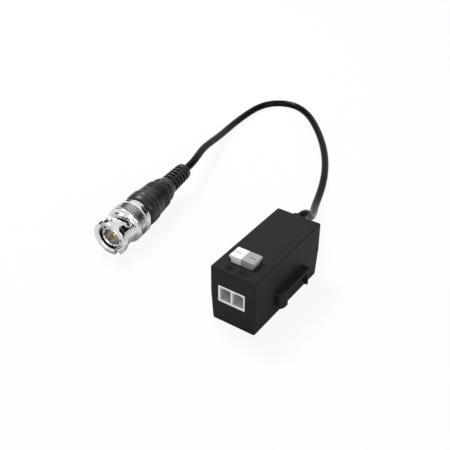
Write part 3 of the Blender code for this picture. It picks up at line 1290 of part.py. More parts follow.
def make_boot(frame):
    """The moulded boot: a swelling band, a tapered grip, a bulb and a ringed tail."""
    taper_start = BOOT_BAND_LENGTH + BOOT_STEP_WIDTH
    taper_end = taper_start + BOOT_TAPER_LENGTH
    taper_radius = BOOT_BAND_RADIUS - BOOT_STEP_DEPTH
    outside = [
        (BOOT_FRONT_RADIUS - BOOT_EDGE, 0),
        (BOOT_FRONT_RADIUS, BOOT_EDGE),
        (BOOT_SWELL_RADIUS, BOOT_SWELL_AT),
        (BOOT_BAND_RADIUS, BOOT_BAND_LENGTH),
        (taper_radius, taper_start),
    ]
    outside += fine_grooves(taper_start, taper_end, taper_radius)
    outside += [(radius, taper_end - BOOT_SHOULDER + behind) for radius, behind in
                arc((BOOT_TAPER_RADIUS - BOOT_SHOULDER, 0), BOOT_SHOULDER, 0, 90)]
    outside += [
        (BOOT_NECK_RADIUS, taper_end),
        (BOOT_NECK_RADIUS, BOOT_BULB_START),
        (BOOT_BULB_RADIUS - BOOT_EDGE, BOOT_BULB_START),
        (BOOT_BULB_RADIUS, BOOT_BULB_START + BOOT_EDGE),
        (BOOT_BULB_RADIUS, BOOT_BULB_START + BOOT_BULB_LENGTH / 2),
        (BOOT_WAIST_RADIUS, BOOT_BULB_END - BOOT_EDGE),
        (BOOT_WAIST_RADIUS, BOOT_BULB_END),
        (tail_radius(BOOT_LENGTH - BOOT_EDGE), BOOT_LENGTH - BOOT_EDGE),
        (BOOT_TAIL_REAR_RADIUS - BOOT_EDGE, BOOT_LENGTH),
    ]
    bore = CABLE_RADIUS + TOUCH_GAP
    inside = [
        (bore, BOOT_LENGTH),
        (bore, BOOT_POCKET_LENGTH),
        (BOOT_POCKET_RADIUS, BOOT_POCKET_LENGTH),
        (BOOT_POCKET_RADIUS, 0),
    ]
    profile = [(r, BOOT_START + s) for r, s in outside + inside]
    boot = turned("plug_boot", PARTS, profile, steps=BOOT_STEPS, parent=frame)
    cut(boot, *boot_slots(frame))
    return as_part(boot, BLACK_PVC, 35)


def make_plug_cable_end(frame):
    """The crimp ferrule on the body's stem, and the jacket inside the boot."""
    start = BODY_COLLAR_END + SPIGOT_LENGTH + TOUCH_GAP
    ring_piece("crimp_ferrule", FERRULE_BORE_RADIUS, FERRULE_RADIUS, start, start + FERRULE_LENGTH,
               TINNED_BRASS, frame, steps=20)
    jacket_start = start + FERRULE_LENGTH + TOUCH_GAP
    jacket = turned("lead_plug_end", PARTS, [
        (0, jacket_start), (CABLE_RADIUS, jacket_start), (CABLE_RADIUS, BOOT_END), (0, BOOT_END),
    ], steps=20, parent=frame)
    return as_part(jacket, BLACK_PVC, 30)


def make_plug():
    """The bayonet plug, which lies on the table with its mouth to the front."""
    frame = plug_frame()
    make_nut(frame)
    make_clip(frame)
    ring_piece("thrust_washer", BARREL_RADIUS + TOUCH_GAP, WASHER_RADIUS, WASHER_START,
               WASHER_START + WASHER_THICKNESS, TINNED_BRASS, frame)
    make_wave_washer(frame)
    make_plug_body(frame)
    make_contact_parts(frame)
    gasket_end = BODY_FLANGE_START - FIT_GAP
    ring_piece("gasket", SLEEVE_RADIUS + FIT_GAP, GASKET_RADIUS, gasket_end - GASKET_LENGTH, gasket_end,
               SILICONE, frame)
    make_boot(frame)
    make_plug_cable_end(frame)
    return frame


def make_cable(frame):
    """The free stretch of the lead, from the collar's mouth to the boot's end."""
    start = Vector((COLLAR_X, REAR_Y + COLLAR_LENGTH + TOUCH_GAP, COLLAR_HEIGHT))
    axis = frame.matrix_world.to_3x3() @ Vector((0, 0, 1))
    end = frame.matrix_world @ Vector((0, 0, BOOT_END + TOUCH_GAP))
    knots = [start, start + Vector((0, CABLE_RADIUS, 0)), *ROUTE, end + axis * 3 * CABLE_RADIUS, end]
    return as_part(tube("coax_cable", PARTS, smooth_route(knots, CABLE_POINT_COUNT), CABLE_RADIUS),
                   BLACK_PVC, 60)


make_cover()
make_base()
make_terminal()
make_button("button_plus", -1, PLUS_GROOVE_SHARES, WHITE_PLASTIC)
make_button("button_minus", 1, MINUS_GROOVE_SHARES, GREY_PLASTIC)
for pole, pole_x in zip(("plus", "minus"), POLE_XS):
    make_contact(f"contact_{pole}", pole_x)
    make_clamp(f"clamp_spring_{pole}", pole_x)
make_board()
make_core()
make_winding("winding_line", WINDING_MIDDLES[0], RED_ENAMEL)
make_winding("winding_video", WINDING_MIDDLES[1], GREEN_ENAMEL)
make_components()
make_lead_end()
make_cable(make_plug())
bpy.context.view_layer.update()
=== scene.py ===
"""The looks of a passive video balun: a black snap-together housing with a push-in wire terminal,
and a short coaxial lead that ends in a bayonet plug with a moulded boot.

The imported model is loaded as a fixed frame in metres, and each piece here goes where it says.
"""

import json
import math

import bmesh
import bpy
import numpy as np
from mathutils import Matrix, Vector

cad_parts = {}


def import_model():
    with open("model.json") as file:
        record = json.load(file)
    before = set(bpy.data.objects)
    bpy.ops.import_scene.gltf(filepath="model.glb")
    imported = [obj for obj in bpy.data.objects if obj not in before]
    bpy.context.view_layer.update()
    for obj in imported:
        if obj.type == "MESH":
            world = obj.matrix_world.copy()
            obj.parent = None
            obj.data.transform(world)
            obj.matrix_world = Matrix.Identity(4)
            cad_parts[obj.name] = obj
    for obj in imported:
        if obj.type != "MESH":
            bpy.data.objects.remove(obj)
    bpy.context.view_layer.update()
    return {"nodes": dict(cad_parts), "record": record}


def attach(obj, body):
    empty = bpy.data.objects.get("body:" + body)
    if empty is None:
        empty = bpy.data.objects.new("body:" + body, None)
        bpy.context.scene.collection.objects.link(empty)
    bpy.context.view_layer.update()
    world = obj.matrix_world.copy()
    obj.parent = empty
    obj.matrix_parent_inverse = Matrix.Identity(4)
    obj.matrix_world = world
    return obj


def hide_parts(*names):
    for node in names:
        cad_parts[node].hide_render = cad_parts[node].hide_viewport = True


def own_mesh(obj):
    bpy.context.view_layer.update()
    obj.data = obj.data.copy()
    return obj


MM = 0.001

# Camera, in the model's frame
CAMERA_PLACE = (102.908 * MM, -171.031 * MM, 166.677 * MM)
CAMERA_TARGET = (-26.733 * MM, 14.117 * MM, 10.0 * MM)
CAMERA_LENS = 61.12                   # mm, on the default sensor

# Floor, room, and the dark cards and lamps around the table, in metres
FLOOR_HALF = 3.0
FLOOR_WHITE = 0.9
FLOOR_GLOW = 0.9                      # share of the camera's view of it that is its own light
ROOM_GREY = 0.32
CARD_BLACK = 0.01
CARDS = (
    # name, place, width, height
    ("card_right", (0.29, 0.42, 0.26), 0.5, 0.42),
    ("card_left", (-0.5, 0.16, 0.2), 0.4, 0.22),
)
LAMPS = (
    # name, place, target, size across and along, power in watts
    ("key", (-0.35, 0.15, 0.62), (-0.03, 0.03, 0.0), 0.24, 0.24, 3.3),
    ("front_fill", (0.25, -0.55, 0.35), (-0.02, 0.0, 0.01), 0.5, 0.3, 1.0),
    ("side_fill", (0.6, 0.1, 0.3), (0.0, 0.0, 0.01), 0.4, 0.3, 1.1),
)

# Finishes: the detail and spread of their noises, two common grains, and the clear coats
PATCH_DETAIL = 4.0
GRAIN_DETAIL = 2.0
GRAIN_SHARE = 0.5
PATCH_SPREAD = (0.3, 0.7)
TONE_SPREAD = (0.35, 0.65)
ROUGH_SPREAD = (0.2, 0.8)
MOULDED = {"grain": 0.16 * MM, "patch": 6 * MM}
SMOOTH = {"grain": 0.5 * MM, "patch": 4 * MM}
COATS = {
    # name: weight, roughness
    "black_pvc": (0.15, 0.22),
    "cable_jacket": (0.13, 0.06),
}
SMOOTH_ANGLE = math.radians(30)       # edges above this stay sharp

# Housing places that the details stand on
HOUSING_TOP = 21.4 * MM
COLLAR_X = -2.0 * MM
COLLAR_MOUTH_Y = 23.0 * MM
COLLAR_HEIGHT = 17.5 * MM
COLLAR_BORE_RADIUS = 1.8 * MM
GROMMET_DEPTH = 1.2 * MM
GROMMET_EDGE = 0.1 * MM
GROMMET_STEPS = 64
FIT_GAP = 0.02 * MM
ALONG_Y = Matrix(((0, 1, 0, 0), (0, 0, 1, 0), (1, 0, 0, 0), (0, 0, 0, 1)))      # turns Z to Y

# Terminal: painted shade on the floors of the caps' short grooves, and in the wire entries behind their
# thin rim
CAP_TOP = 23.8 * MM
CAP_GROOVE_TOP = CAP_TOP - 0.1 * MM
CAP_GROOVE_FLOOR = CAP_TOP - 0.5 * MM
CAP_GROOVE_FLATNESS = 0.8
# Share of colour left on the caps' groove floors by the painted shade
CAP_GROOVE_SHADE_SHARE = 0.15
# Painted shade in the wire entries: where it starts and ends in depth, and the share of colour it leaves
ENTRY_SHADE_START = -19.92 * MM
ENTRY_SHADE_END = -19.74 * MM
ENTRY_SHADE_SHARE = 0.62

# Signs on the top, in front of the buttons
SIGN_Y = -17.58 * MM
SIGN_XS = (-2.83 * MM, 1.8 * MM)
SIGN_ARM = 1.02 * MM
SIGN_HALF_WIDTH = 0.2 * MM
SIGN_RISE = 0.08 * MM
SIGN_RING_RADIUS = 1.3 * MM
SIGN_RING_EDGE = 0.05 * MM
SIGN_RING_STEPS = 72

# Edges of the CAD nodes that show
EDGE_WIDTHS = {
    "housing_cover": 0.16 * MM,
    "housing_base": 0.16 * MM,
    "button_plus": 0.07 * MM,
    "button_minus": 0.07 * MM,
    "terminal_body": 0.07 * MM,
    "circuit_board": 0.05 * MM,
}
EDGE_ANGLE = math.radians(35)
EDGE_SEGMENTS = 3

# Lead
CABLE_RADIUS = 1.5 * MM
CABLE_LEAD_IN = 3 * CABLE_RADIUS      # straight stretch before the boot
CABLE_KNOTS = 36
CABLE_FINE_STEPS = 60                 # between two places of the route, while it is measured
CABLE_ROUND_STEPS = 6
CABLE_CURVE_STEPS = 10
HANDLE_SHARE = 1 / 3
HEADING_SHARE = 1 / 20
ROUTE = (
    (-2.1 * MM, 28.0 * MM, 16.7 * MM),
    (-2.6 * MM, 31.6 * MM, 14.0 * MM),
    (-3.9 * MM, 35.8 * MM, 10.6 * MM),
    (-6.2 * MM, 41.5 * MM, 7.2 * MM),
    (-8.8 * MM, 47.5 * MM, 4.6 * MM),
    (-12.0 * MM, 55.2 * MM, 2.5 * MM),
    (-15.3 * MM, 64.6 * MM, 1.6 * MM),
    (-19.6 * MM, 75.6 * MM, 1.6 * MM),
    (-25.4 * MM, 87.2 * MM, 1.6 * MM),
    (-34.5 * MM, 101.2 * MM, 1.6 * MM),
    (-47.4 * MM, 116.4 * MM, 1.6 * MM),
    (-56.6 * MM, 124.2 * MM, 1.6 * MM),
    (-66.2 * MM, 127.4 * MM, 1.6 * MM),
    (-74.0 * MM, 124.0 * MM, 1.6 * MM),
    (-77.9 * MM, 116.4 * MM, 1.6 * MM),
    (-78.5 * MM, 107.0 * MM, 1.7 * MM),
    (-77.6 * MM, 95.0 * MM, 2.1 * MM),
    (-74.8 * MM, 81.0 * MM, 3.6 * MM),
    (-71.2 * MM, 68.0 * MM, 6.4 * MM),
    (-67.4 * MM, 55.5 * MM, 9.0 * MM),
)

# Plug: its mouth and its axis. All its stations are behind the mouth
PLUG_MOUTH = (-57.9 * MM, -13.3 * MM, 7.069 * MM)
PLUG_YAW = math.radians(95.3)
PLUG_TILT = math.radians(3.0)
ARC_STEPS = 4
ARC_REACH_SHARE = 0.45
STRAIGHT_ANGLE = math.radians(175)

# Coupling nut
NUT_RIM_RADIUS = 6.9 * MM
NUT_RIM_LENGTH = 1.9 * MM
NUT_RIM_RAMP = 0.1 * MM
NUT_SLEEVE_RADIUS = 6.1 * MM
NUT_RAMP_START = 8.2 * MM
NUT_DRUM_START = 9.0 * MM
NUT_RADIUS = 7.25 * MM
NUT_LENGTH = 15.8 * MM
NUT_BORE_RADIUS = 4.9 * MM
NUT_CHAMBER_RADIUS = 6.0 * MM
NUT_SHOULDER = 9.8 * MM
NUT_EDGE = 0.25 * MM
NUT_MOUTH_CHAMFER = 0.5 * MM
NUT_SMOOTH_ANGLE = math.radians(40)
CLIP_START = 14.7 * MM
CLIP_END = 15.2 * MM
CLIP_GROOVE_RADIUS = 6.45 * MM
KNURL_START = 9.5 * MM
KNURL_END = 14.2 * MM
KNURL_RUN_OUT = 0.25 * MM
KNURL_COUNT = 56
KNURL_DEPTH = 0.4 * MM
KNURL_STEPS = 6                       # round the drum, for each ridge
KNURL_STATIONS = 6                    # along the ridges
# Painted shade at the knurl's groove bottoms: full below the first radius, none above the second, and the
# share of colour it leaves
KNURL_FULL_SHADE_RADIUS = NUT_RADIUS - KNURL_DEPTH
KNURL_NO_SHADE_RADIUS = NUT_RADIUS - KNURL_DEPTH / 4
KNURL_SHADE_LIMIT = NUT_SLEEVE_RADIUS + 0.3 * MM      # the wall's inside stays bright
KNURL_SHADE_SHARE = 0.1

# Bayonet slots in the nut
SLOT_HALF_WIDTH = 1.1 * MM
SLOT_ENTRY = 5.2 * MM
SLOT_END = 6.3 * MM
SLOT_END_RADIUS = 1.55 * MM
SLOT_START = math.radians(66.3)
SLOT_SWEEP = math.radians(62)
SLOT_COUNT = 2
SLOT_ROUND_STEPS = 18
SLOT_CORNER_STEPS = 5
SLOT_EDGE_STEP = 0.6 * MM
SLOT_OVERRUN = 1 * MM
SLOT_CUTTER_RADIUS = 9.5 * MM
LIP_RADIUS = 0.24 * MM
LIP_ROUND_STEPS = 4

# Plug body
BODY_COLLAR_START = 16.1 * MM
BODY_COLLAR_END = 17.4 * MM
BODY_COLLAR_RADIUS = 6.2 * MM
BODY_EDGE = 0.3 * MM
BODY_STEPS = 96
SLEEVE_RADIUS = 4.05 * MM
SLEEVE_BORE_RADIUS = 3.3 * MM
SLEEVE_START = 1.0 * MM
SLEEVE_EDGE = 0.3 * MM
SLEEVE_BORE_EDGE = 0.25 * MM
FINGER_COUNT = 4
FINGER_STEPS = 14
SLIT_END = 6.0 * MM
SLIT_HALF = 0.25 * MM
FLANGE_START = 10.1 * MM
FLANGE_END = 11.2 * MM
FLANGE_RADIUS = 5.75 * MM
BARREL_RADIUS = 4.2 * MM
BARREL_BORE_END = 15.7 * MM
SPIGOT_RADIUS = 3.2 * MM
SPIGOT_END = 20.0 * MM
STEM_RADIUS = 1.15 * MM
STEM_END = 25.5 * MM
PIN_WAY_RADIUS = 0.825 * MM

# Boot. Its own stations are behind its front face
BOOT_START = 17.7 * MM
BOOT_LENGTH = 32.4 * MM
BOOT_END = BOOT_START + BOOT_LENGTH
BOOT_STEPS = 144
BOOT_SMOOTH_ANGLE = math.radians(50)
BOOT_SWELL = (
    # radius and station in mm: the swelling band with a hairline seam, and the step behind it
    (5.95, 0), (6.35, 0.12), (6.55, 0.5), (6.75, 1.3), (6.85, 2.3),
    (6.85, 3.15), (6.79, 3.25), (6.79, 3.38), (6.85, 3.48),
    (6.8, 4.6), (6.7, 5.6), (6.55, 5.95), (6.34, 6.1), (6.28, 6.3),
)
BOOT_TAPER_START = 6.6 * MM
BOOT_TAPER_MIDDLE = 8.2 * MM
BOOT_TAPER_END = 14.0 * MM
BOOT_TAPER_START_RADIUS = 6.32 * MM
BOOT_TAPER_END_RADIUS = 5.78 * MM
BOOT_FINE_COUNT = 5
BOOT_FINE_FIRST = 9.7 * MM
BOOT_FINE_PITCH = 0.8 * MM
BOOT_FINE_HALF = 0.21 * MM
BOOT_FINE_DEPTH = 0.26 * MM
BOOT_FINE_SHAPE = (
    # distance from a fine groove's middle in half-widths, and share of its depth there
    (-1.6, 0), (-1, 0.1), (-0.4, 1), (0.4, 1), (1, 0.1), (1.6, 0),
)
BOOT_BULB_END = 19.2 * MM
BOOT_BULB = (
    # radius and station in mm: the shoulder, the neck and the bulb
    (5.74, 13.75), (5.6, 14.05), (5.35, 14.3), (5.0, 14.5), (4.68, 14.6),
    (4.55, 14.75), (4.55, 15.0), (4.62, 15.12),
    (4.82, 15.2), (4.97, 15.35), (5.02, 15.6), (5.02, 16.3), (4.97, 16.9),
    (4.82, 17.5), (4.55, 18.1), (4.2, 18.65), (3.95, 18.95),
)
BOOT_WAIST_RADIUS = 3.9 * MM
BOOT_TAIL_RADIUS = 3.35 * MM
BOOT_TAIL_ROUND = (
    # drop below the tail's radius and distance from its end, in mm
    (0.01, 0.75), (0.06, 0.5), (0.16, 0.28), (0.36, 0.12), (0.61, 0.03), (0.86, 0),
)
BOOT_BORE_RADIUS = 1.8 * MM
BOOT_BORE_CHAMFER = 0.2 * MM
BOOT_POCKET_RADIUS = 3.5 * MM
BOOT_POCKET_LENGTH = 10.0 * MM
BOOT_POCKET_CONE = 0.3 * MM
BOOT_SLOT_ROWS = 5
BOOT_SLOT_FIRST = 2.0 * MM
BOOT_SLOT_PITCH = 2.0 * MM
BOOT_SLOT_HALF = 0.45 * MM
BOOT_SLOT_FLOOR = 2.8 * MM
BOOT_SLOT_OFFSETS = (0.5, 0.98, 1.08, 1.2, 1.4, 1.7, 1.95)      # in half-widths from the middle
BOOT_SLOT_SHARES = (1, 1, 0.42, 0.24, 0.12, 0.04, 0)            # of the slot's depth, at each
BOOT_BRIDGE_HALF = 1.2 * MM
BOOT_BRIDGE_INSET = 0.3 * MM
BOOT_BRIDGE_RAMP = 0.24 * MM
BOOT_BRIDGE_ANGLE = math.radians(131)
BOOT_BRIDGE_SHARE = 0.4

# Springs: the clamps stand on a shoulder, and the washer on the body's flange
SPRING_EDGE = 0.05 * MM
SPRING_EDGE_ANGLE = math.radians(60)
SPRING_EDGE_SEGMENTS = 2
SPRING_SMOOTH_ANGLE = math.radians(45)
MERGE_DISTANCE = 0.001 * MM


def link(obj):
    bpy.context.scene.collection.objects.link(obj)
    return obj


def aim(obj, target):
    """Turns an object so that its own -Z looks at a place."""
    way = Vector(target) - obj.location
    obj.rotation_euler = way.to_track_quat("-Z", "Y").to_euler()


def make_camera():
    data = bpy.data.cameras.new("camera")
    data.lens = CAMERA_LENS
    camera = link(bpy.data.objects.new("camera", data))
    camera.location = CAMERA_PLACE
    aim(camera, CAMERA_TARGET)
    bpy.context.scene.camera = camera


def mesh_object(name, bm, material, smooth_angle=SMOOTH_ANGLE):
    """An object from mesh code, with one material and edges that stay sharp above an angle."""
    bmesh.ops.recalc_face_normals(bm, faces=bm.faces)
    mesh = bpy.data.meshes.new(name)
    bm.to_mesh(mesh)
    bm.free()
    mesh.materials.append(material)
    mesh.shade_smooth()
    mesh.set_sharp_from_angle(angle=smooth_angle)
    return link(bpy.data.objects.new(name, mesh))


# Shader helpers

def shader_of(mat):
    return mat.node_tree.nodes["Principled BSDF"]


def node(mat, kind, **settings):
    made = mat.node_tree.nodes.new(kind)
    for key, value in settings.items():
        setattr(made, key, value)
    return made


def wire(mat, source, target):
    mat.node_tree.links.new(source, target)


def maths(mat, operation, one, two):
    """A math node; each of its two inputs is a socket or a number."""
    made = node(mat, "ShaderNodeMath", operation=operation)
    for socket, value in zip(made.inputs, (one, two)):
        if isinstance(value, (int, float)):
            socket.default_value = value
        else:
            wire(mat, value, socket)
    return made.outputs["Value"]


def noise(mat, size, detail, stretch):
    """A noise whose features are about a given size across, in the model's own metres."""
    place = node(mat, "ShaderNodeTexCoord")
    scaled = node(mat, "ShaderNodeMapping")
    scaled.inputs["Scale"].default_value = stretch
    wire(mat, place.outputs["Object"], scaled.inputs["Vector"])
    cloud = node(mat, "ShaderNodeTexNoise")
    cloud.inputs["Scale"].default_value = 1 / size
    cloud.inputs["Detail"].default_value = detail
    wire(mat, scaled.outputs["Vector"], cloud.inputs["Vector"])
    return cloud.outputs["Fac"]


def between(mat, factor, low, high, start, end):
    """A number that runs from low to high as a factor runs from start to end."""
    spread = node(mat, "ShaderNodeMapRange")
    wire(mat, factor, spread.inputs["Value"])
    for name, value in (("From Min", start), ("From Max", end), ("To Min", low), ("To Max", high)):
        spread.inputs[name].default_value = value
    return spread.outputs["Result"]


def tones(mat, factor, dark, light):
    """A colour that runs between two tones with a factor."""
    ramp = node(mat, "ShaderNodeValToRGB")
    for stop, position, colour in zip(ramp.color_ramp.elements, TONE_SPREAD, (dark, light)):
        stop.position = position
        stop.color = (*colour, 1)
    wire(mat, factor, ramp.inputs["Fac"])
    return ramp.outputs["Color"]


def finish(name, dark, light, rough, grain, depth, patch, metallic=0.0, specular=0.5,
           stretch=(1, 1, 1)):
    """A surface with two close tones in soft patches, a roughness that varies with them, and a
    fine grain in relief. Sizes and depth are in metres, and rough is a (low, high) pair. Gives the
    name with the material, because the loaded model's materials may have taken that name."""
    mat = bpy.data.materials.new(name)
    mat.use_nodes = True
    shader = shader_of(mat)
    patches = noise(mat, patch, PATCH_DETAIL, stretch)
    wire(mat, tones(mat, patches, dark, light), shader.inputs["Base Color"])
    fine = noise(mat, grain, GRAIN_DETAIL, stretch)
    mixed = node(mat, "ShaderNodeMath", operation="MULTIPLY_ADD")
    wire(mat, fine, mixed.inputs[0])
    mixed.inputs[1].default_value = GRAIN_SHARE
    wire(mat, between(mat, patches, 0, 1 - GRAIN_SHARE, *PATCH_SPREAD), mixed.inputs[2])
    wire(mat, between(mat, mixed.outputs["Value"], *rough, *ROUGH_SPREAD), shader.inputs["Roughness"])
    shader.inputs["Metallic"].default_value = metallic
    shader.inputs["Specular IOR Level"].default_value = specular
    relief = node(mat, "ShaderNodeBump")
    relief.inputs["Strength"].default_value = 1.0
    relief.inputs["Distance"].default_value = depth
    wire(mat, fine, relief.inputs["Height"])
    wire(mat, relief.outputs["Normal"], shader.inputs["Normal"])
    return name, mat


# Painted shade by place

def scaled_colour(mat, factor, low):
    """Multiplies the base colour by a share, which runs from low to 1 with a factor."""
    colour = shader_of(mat).inputs["Base Color"]
    source = colour.links[0].from_socket
    mix = node(mat, "ShaderNodeMix", data_type="RGBA", blend_type="MULTIPLY")
    mix.inputs["Factor"].default_value = 1.0
    wire(mat, source, mix.inputs["A"])
    wire(mat, between(mat, factor, low, 1.0, 0.0, 1.0), mix.inputs["B"])
    wire(mat, mix.outputs["Result"], colour)


def place_part(mat, axis):
    """One coordinate of the surface's place, in the model's own metres."""
    place = node(mat, "ShaderNodeTexCoord")
    parts = node(mat, "ShaderNodeSeparateXYZ")
    wire(mat, place.outputs["Object"], parts.inputs["Vector"])
    return parts.outputs[axis]


def plug_place(mat):
    """The surface's distance from the plug's axis, and its station behind the mouth."""
    place = node(mat, "ShaderNodeTexCoord")
    offset = node(mat, "ShaderNodeVectorMath", operation="SUBTRACT")
    wire(mat, place.outputs["Object"], offset.inputs[0])
    offset.inputs[1].default_value = PLUG_MOUTH
    found = []
    for operation, output in (("CROSS_PRODUCT", "Vector"), ("DOT_PRODUCT", "Value")):
        step = node(mat, "ShaderNodeVectorMath", operation=operation)
        wire(mat, offset.outputs["Vector"], step.inputs[0])
        step.inputs[1].default_value = plug_axis()
        found.append(step.outputs[output])
    size = node(mat, "ShaderNodeVectorMath", operation="LENGTH")
    wire(mat, found[0], size.inputs[0])
    return size.outputs["Value"], found[1]


def paint_knurl_groove_shade(mat):
    """Paints shade on the bottoms of the knurl's grooves, where the recess would be in shade."""
    radius, station = plug_place(mat)
    low = between(mat, radius, 1.0, 0.0, KNURL_FULL_SHADE_RADIUS, KNURL_NO_SHADE_RADIUS)
    for operation, value, limit in (
            ("GREATER_THAN", radius, KNURL_SHADE_LIMIT),
            ("GREATER_THAN", station, KNURL_START),
            ("LESS_THAN", station, KNURL_END)):
        low = maths(mat, "MULTIPLY", low, maths(mat, operation, value, limit))
    scaled_colour(mat, maths(mat, "SUBTRACT", 1.0, low), KNURL_SHADE_SHARE)


def paint_entry_shade(mat):
    """Paints shade into the wire entries behind the thin rim of the terminal's face, darker with depth."""
    depth = between(mat, place_part(mat, "Y"), 1.0, 0.0, ENTRY_SHADE_START, ENTRY_SHADE_END)
    scaled_colour(mat, depth, ENTRY_SHADE_SHARE)


def paint_cap_groove_shade(mat):
    """Paints shade on the floor of the short groove in a button's cap."""
    height = place_part(mat, "Z")
    shape = node(mat, "ShaderNodeNewGeometry")
    way = node(mat, "ShaderNodeSeparateXYZ")
    wire(mat, shape.outputs["Normal"], way.inputs["Vector"])
    flat = maths(mat, "GREATER_THAN", way.outputs["Z"], CAP_GROOVE_FLATNESS)
    sunk = maths(mat, "LESS_THAN", height, CAP_GROOVE_TOP)
    above = maths(mat, "GREATER_THAN", height, CAP_GROOVE_FLOOR)
    floor = maths(mat, "MULTIPLY", maths(mat, "MULTIPLY", flat, sunk), above)
    scaled_colour(mat, maths(mat, "SUBTRACT", 1.0, floor), CAP_GROOVE_SHADE_SHARE)


# Materials, each with dark tone, light tone and roughness

def white_plastic(name):
    return finish(name, (0.88, 0.88, 0.87), (0.93, 0.93, 0.925), (0.36, 0.46),
                  depth=0.004 * MM, specular=0.3, **MOULDED)


def nickel(name):
    return finish(name, (0.64, 0.635, 0.625), (0.76, 0.755, 0.745), (0.06, 0.14),
                  grain=0.6 * MM, depth=0.0012 * MM, patch=3 * MM, metallic=1.0)


def housing_materials():
    """The housing's plastics and the terminal's metals."""
    return [
        finish("black_plastic", (0.018, 0.018, 0.0185), (0.022, 0.022, 0.0225), (0.5, 0.62),
               depth=0.012 * MM, specular=0.06, **MOULDED),
        finish("sign_black", (0.004, 0.004, 0.004), (0.006, 0.006, 0.006), (0.4, 0.5),
               depth=0.004 * MM, specular=0.02, **MOULDED),
        white_plastic("white_plastic"),
        # White plastic with painted shade in the wire entries
        white_plastic("white_plastic_entry_shade"),
        finish("grey_plastic", (0.37, 0.37, 0.37), (0.41, 0.41, 0.41), (0.36, 0.46),
               depth=0.004 * MM, specular=0.3, **MOULDED),
        finish("tinned_brass", (0.62, 0.6, 0.56), (0.76, 0.75, 0.72), (0.24, 0.38),
               depth=0.003 * MM, metallic=1.0, **SMOOTH),
        finish("spring_steel", (0.5, 0.5, 0.52), (0.6, 0.61, 0.62), (0.2, 0.32),
               grain=0.08 * MM, depth=0.002 * MM, patch=3 * MM, metallic=1.0, stretch=(1, 8, 8)),
    ]


def board_materials():
    """The circuit board and what stands on it."""
    return [
        finish("board_green", (0.012, 0.12, 0.045), (0.02, 0.17, 0.07), (0.25, 0.4),
               depth=0.006 * MM, **SMOOTH),
        finish("ferrite", (0.045, 0.045, 0.05), (0.08, 0.08, 0.085), (0.5, 0.7),
               depth=0.02 * MM, **MOULDED),
        finish("red_enamel_wire", (0.4, 0.05, 0.02), (0.55, 0.09, 0.04), (0.2, 0.32),
               depth=0.004 * MM, **SMOOTH),
        finish("green_enamel_wire", (0.02, 0.22, 0.07), (0.04, 0.32, 0.11), (0.2, 0.32),
               depth=0.004 * MM, **SMOOTH),
        finish("capacitor_blue", (0.05, 0.14, 0.4), (0.09, 0.22, 0.52), (0.3, 0.45),
               depth=0.02 * MM, **SMOOTH),
        finish("diode_black", (0.02, 0.02, 0.02), (0.035, 0.035, 0.035), (0.3, 0.42),
               depth=0.008 * MM, **MOULDED),
        finish("resistor_tan", (0.52, 0.38, 0.22), (0.64, 0.5, 0.32), (0.3, 0.45),
               depth=0.008 * MM, **SMOOTH),
    ]


def lead_materials():
    """The lead's layers, and the plug."""
    return [
        finish("black_pvc", (0.006, 0.006, 0.0065), (0.009, 0.009, 0.0095), (0.32, 0.42),
               depth=0.006 * MM, specular=0.3, **MOULDED),
        finish("cable_jacket", (0.003, 0.003, 0.0035), (0.005, 0.005, 0.0055), (0.24, 0.32),
               grain=0.3 * MM, depth=0.003 * MM, patch=5 * MM, specular=0.02),
        finish("white_wire", (0.74, 0.74, 0.71), (0.82, 0.82, 0.8), (0.34, 0.46),
               depth=0.004 * MM, **SMOOTH),
        finish("copper_braid", (0.56, 0.28, 0.15), (0.76, 0.42, 0.25), (0.28, 0.45),
               grain=0.12 * MM, depth=0.05 * MM, patch=1.2 * MM, metallic=1.0),
        nickel("nickel"),
        # Nickel with painted shade at the bottoms of the knurl's grooves
        nickel("nickel_knurl_shade"),
        finish("gold_plate", (0.85, 0.58, 0.22), (0.95, 0.7, 0.32), (0.14, 0.24),
               depth=0.002 * MM, metallic=1.0, **SMOOTH),
        finish("insulator_white", (0.8, 0.8, 0.77), (0.88, 0.88, 0.86), (0.4, 0.55),
               grain=0.1 * MM, depth=0.004 * MM, patch=2 * MM),
        finish("silicone_gasket", (0.6, 0.58, 0.56), (0.7, 0.68, 0.66), (0.4, 0.55),
               depth=0.006 * MM, **SMOOTH),
    ]


def make_materials():
    """The finishes by name: one for each of the record's slots, and four for single pieces."""
    made = dict(housing_materials() + board_materials() + lead_materials())
    for name, (weight, roughness) in COATS.items():
        shader = shader_of(made[name])
        shader.inputs["Coat Weight"].default_value = weight
        shader.inputs["Coat Roughness"].default_value = roughness
    # Painted shade at the bottoms of the nut's knurl grooves
    paint_knurl_groove_shade(made["nickel_knurl_shade"])
    # Painted shade in the terminal's wire entries
    paint_entry_shade(made["white_plastic_entry_shade"])
    # Painted shade on the floors of the buttons' cap grooves
    for name in ("white_plastic", "grey_plastic"):
        paint_cap_groove_shade(made[name])
    return made


# Stage and light

def make_floor():
    """A white floor that lights itself where the camera sees it, and keeps soft shadows."""
    bm = bmesh.new()
    bmesh.ops.create_grid(bm, x_segments=1, y_segments=1, size=FLOOR_HALF)
    mat = bpy.data.materials.new("floor_white")
    mat.use_nodes = True
    tree = mat.node_tree
    tree.nodes.remove(shader_of(mat))
    paper = node(mat, "ShaderNodeBsdfDiffuse")
    paper.inputs["Color"].default_value = (FLOOR_WHITE, FLOOR_WHITE, FLOOR_WHITE, 1)
    glow = node(mat, "ShaderNodeEmission")
    glow.inputs["Strength"].default_value = 1.0
    mix = node(mat, "ShaderNodeMixShader")
    ray = node(mat, "ShaderNodeLightPath")
    wire(mat, maths(mat, "MULTIPLY", ray.outputs["Is Camera Ray"], FLOOR_GLOW), mix.inputs["Fac"])
    wire(mat, paper.outputs["BSDF"], mix.inputs[1])
    wire(mat, glow.outputs["Emission"], mix.inputs[2])
    wire(mat, mix.outputs["Shader"], tree.nodes["Material Output"].inputs["Surface"])
    floor = mesh_object("floor", bm, mat)


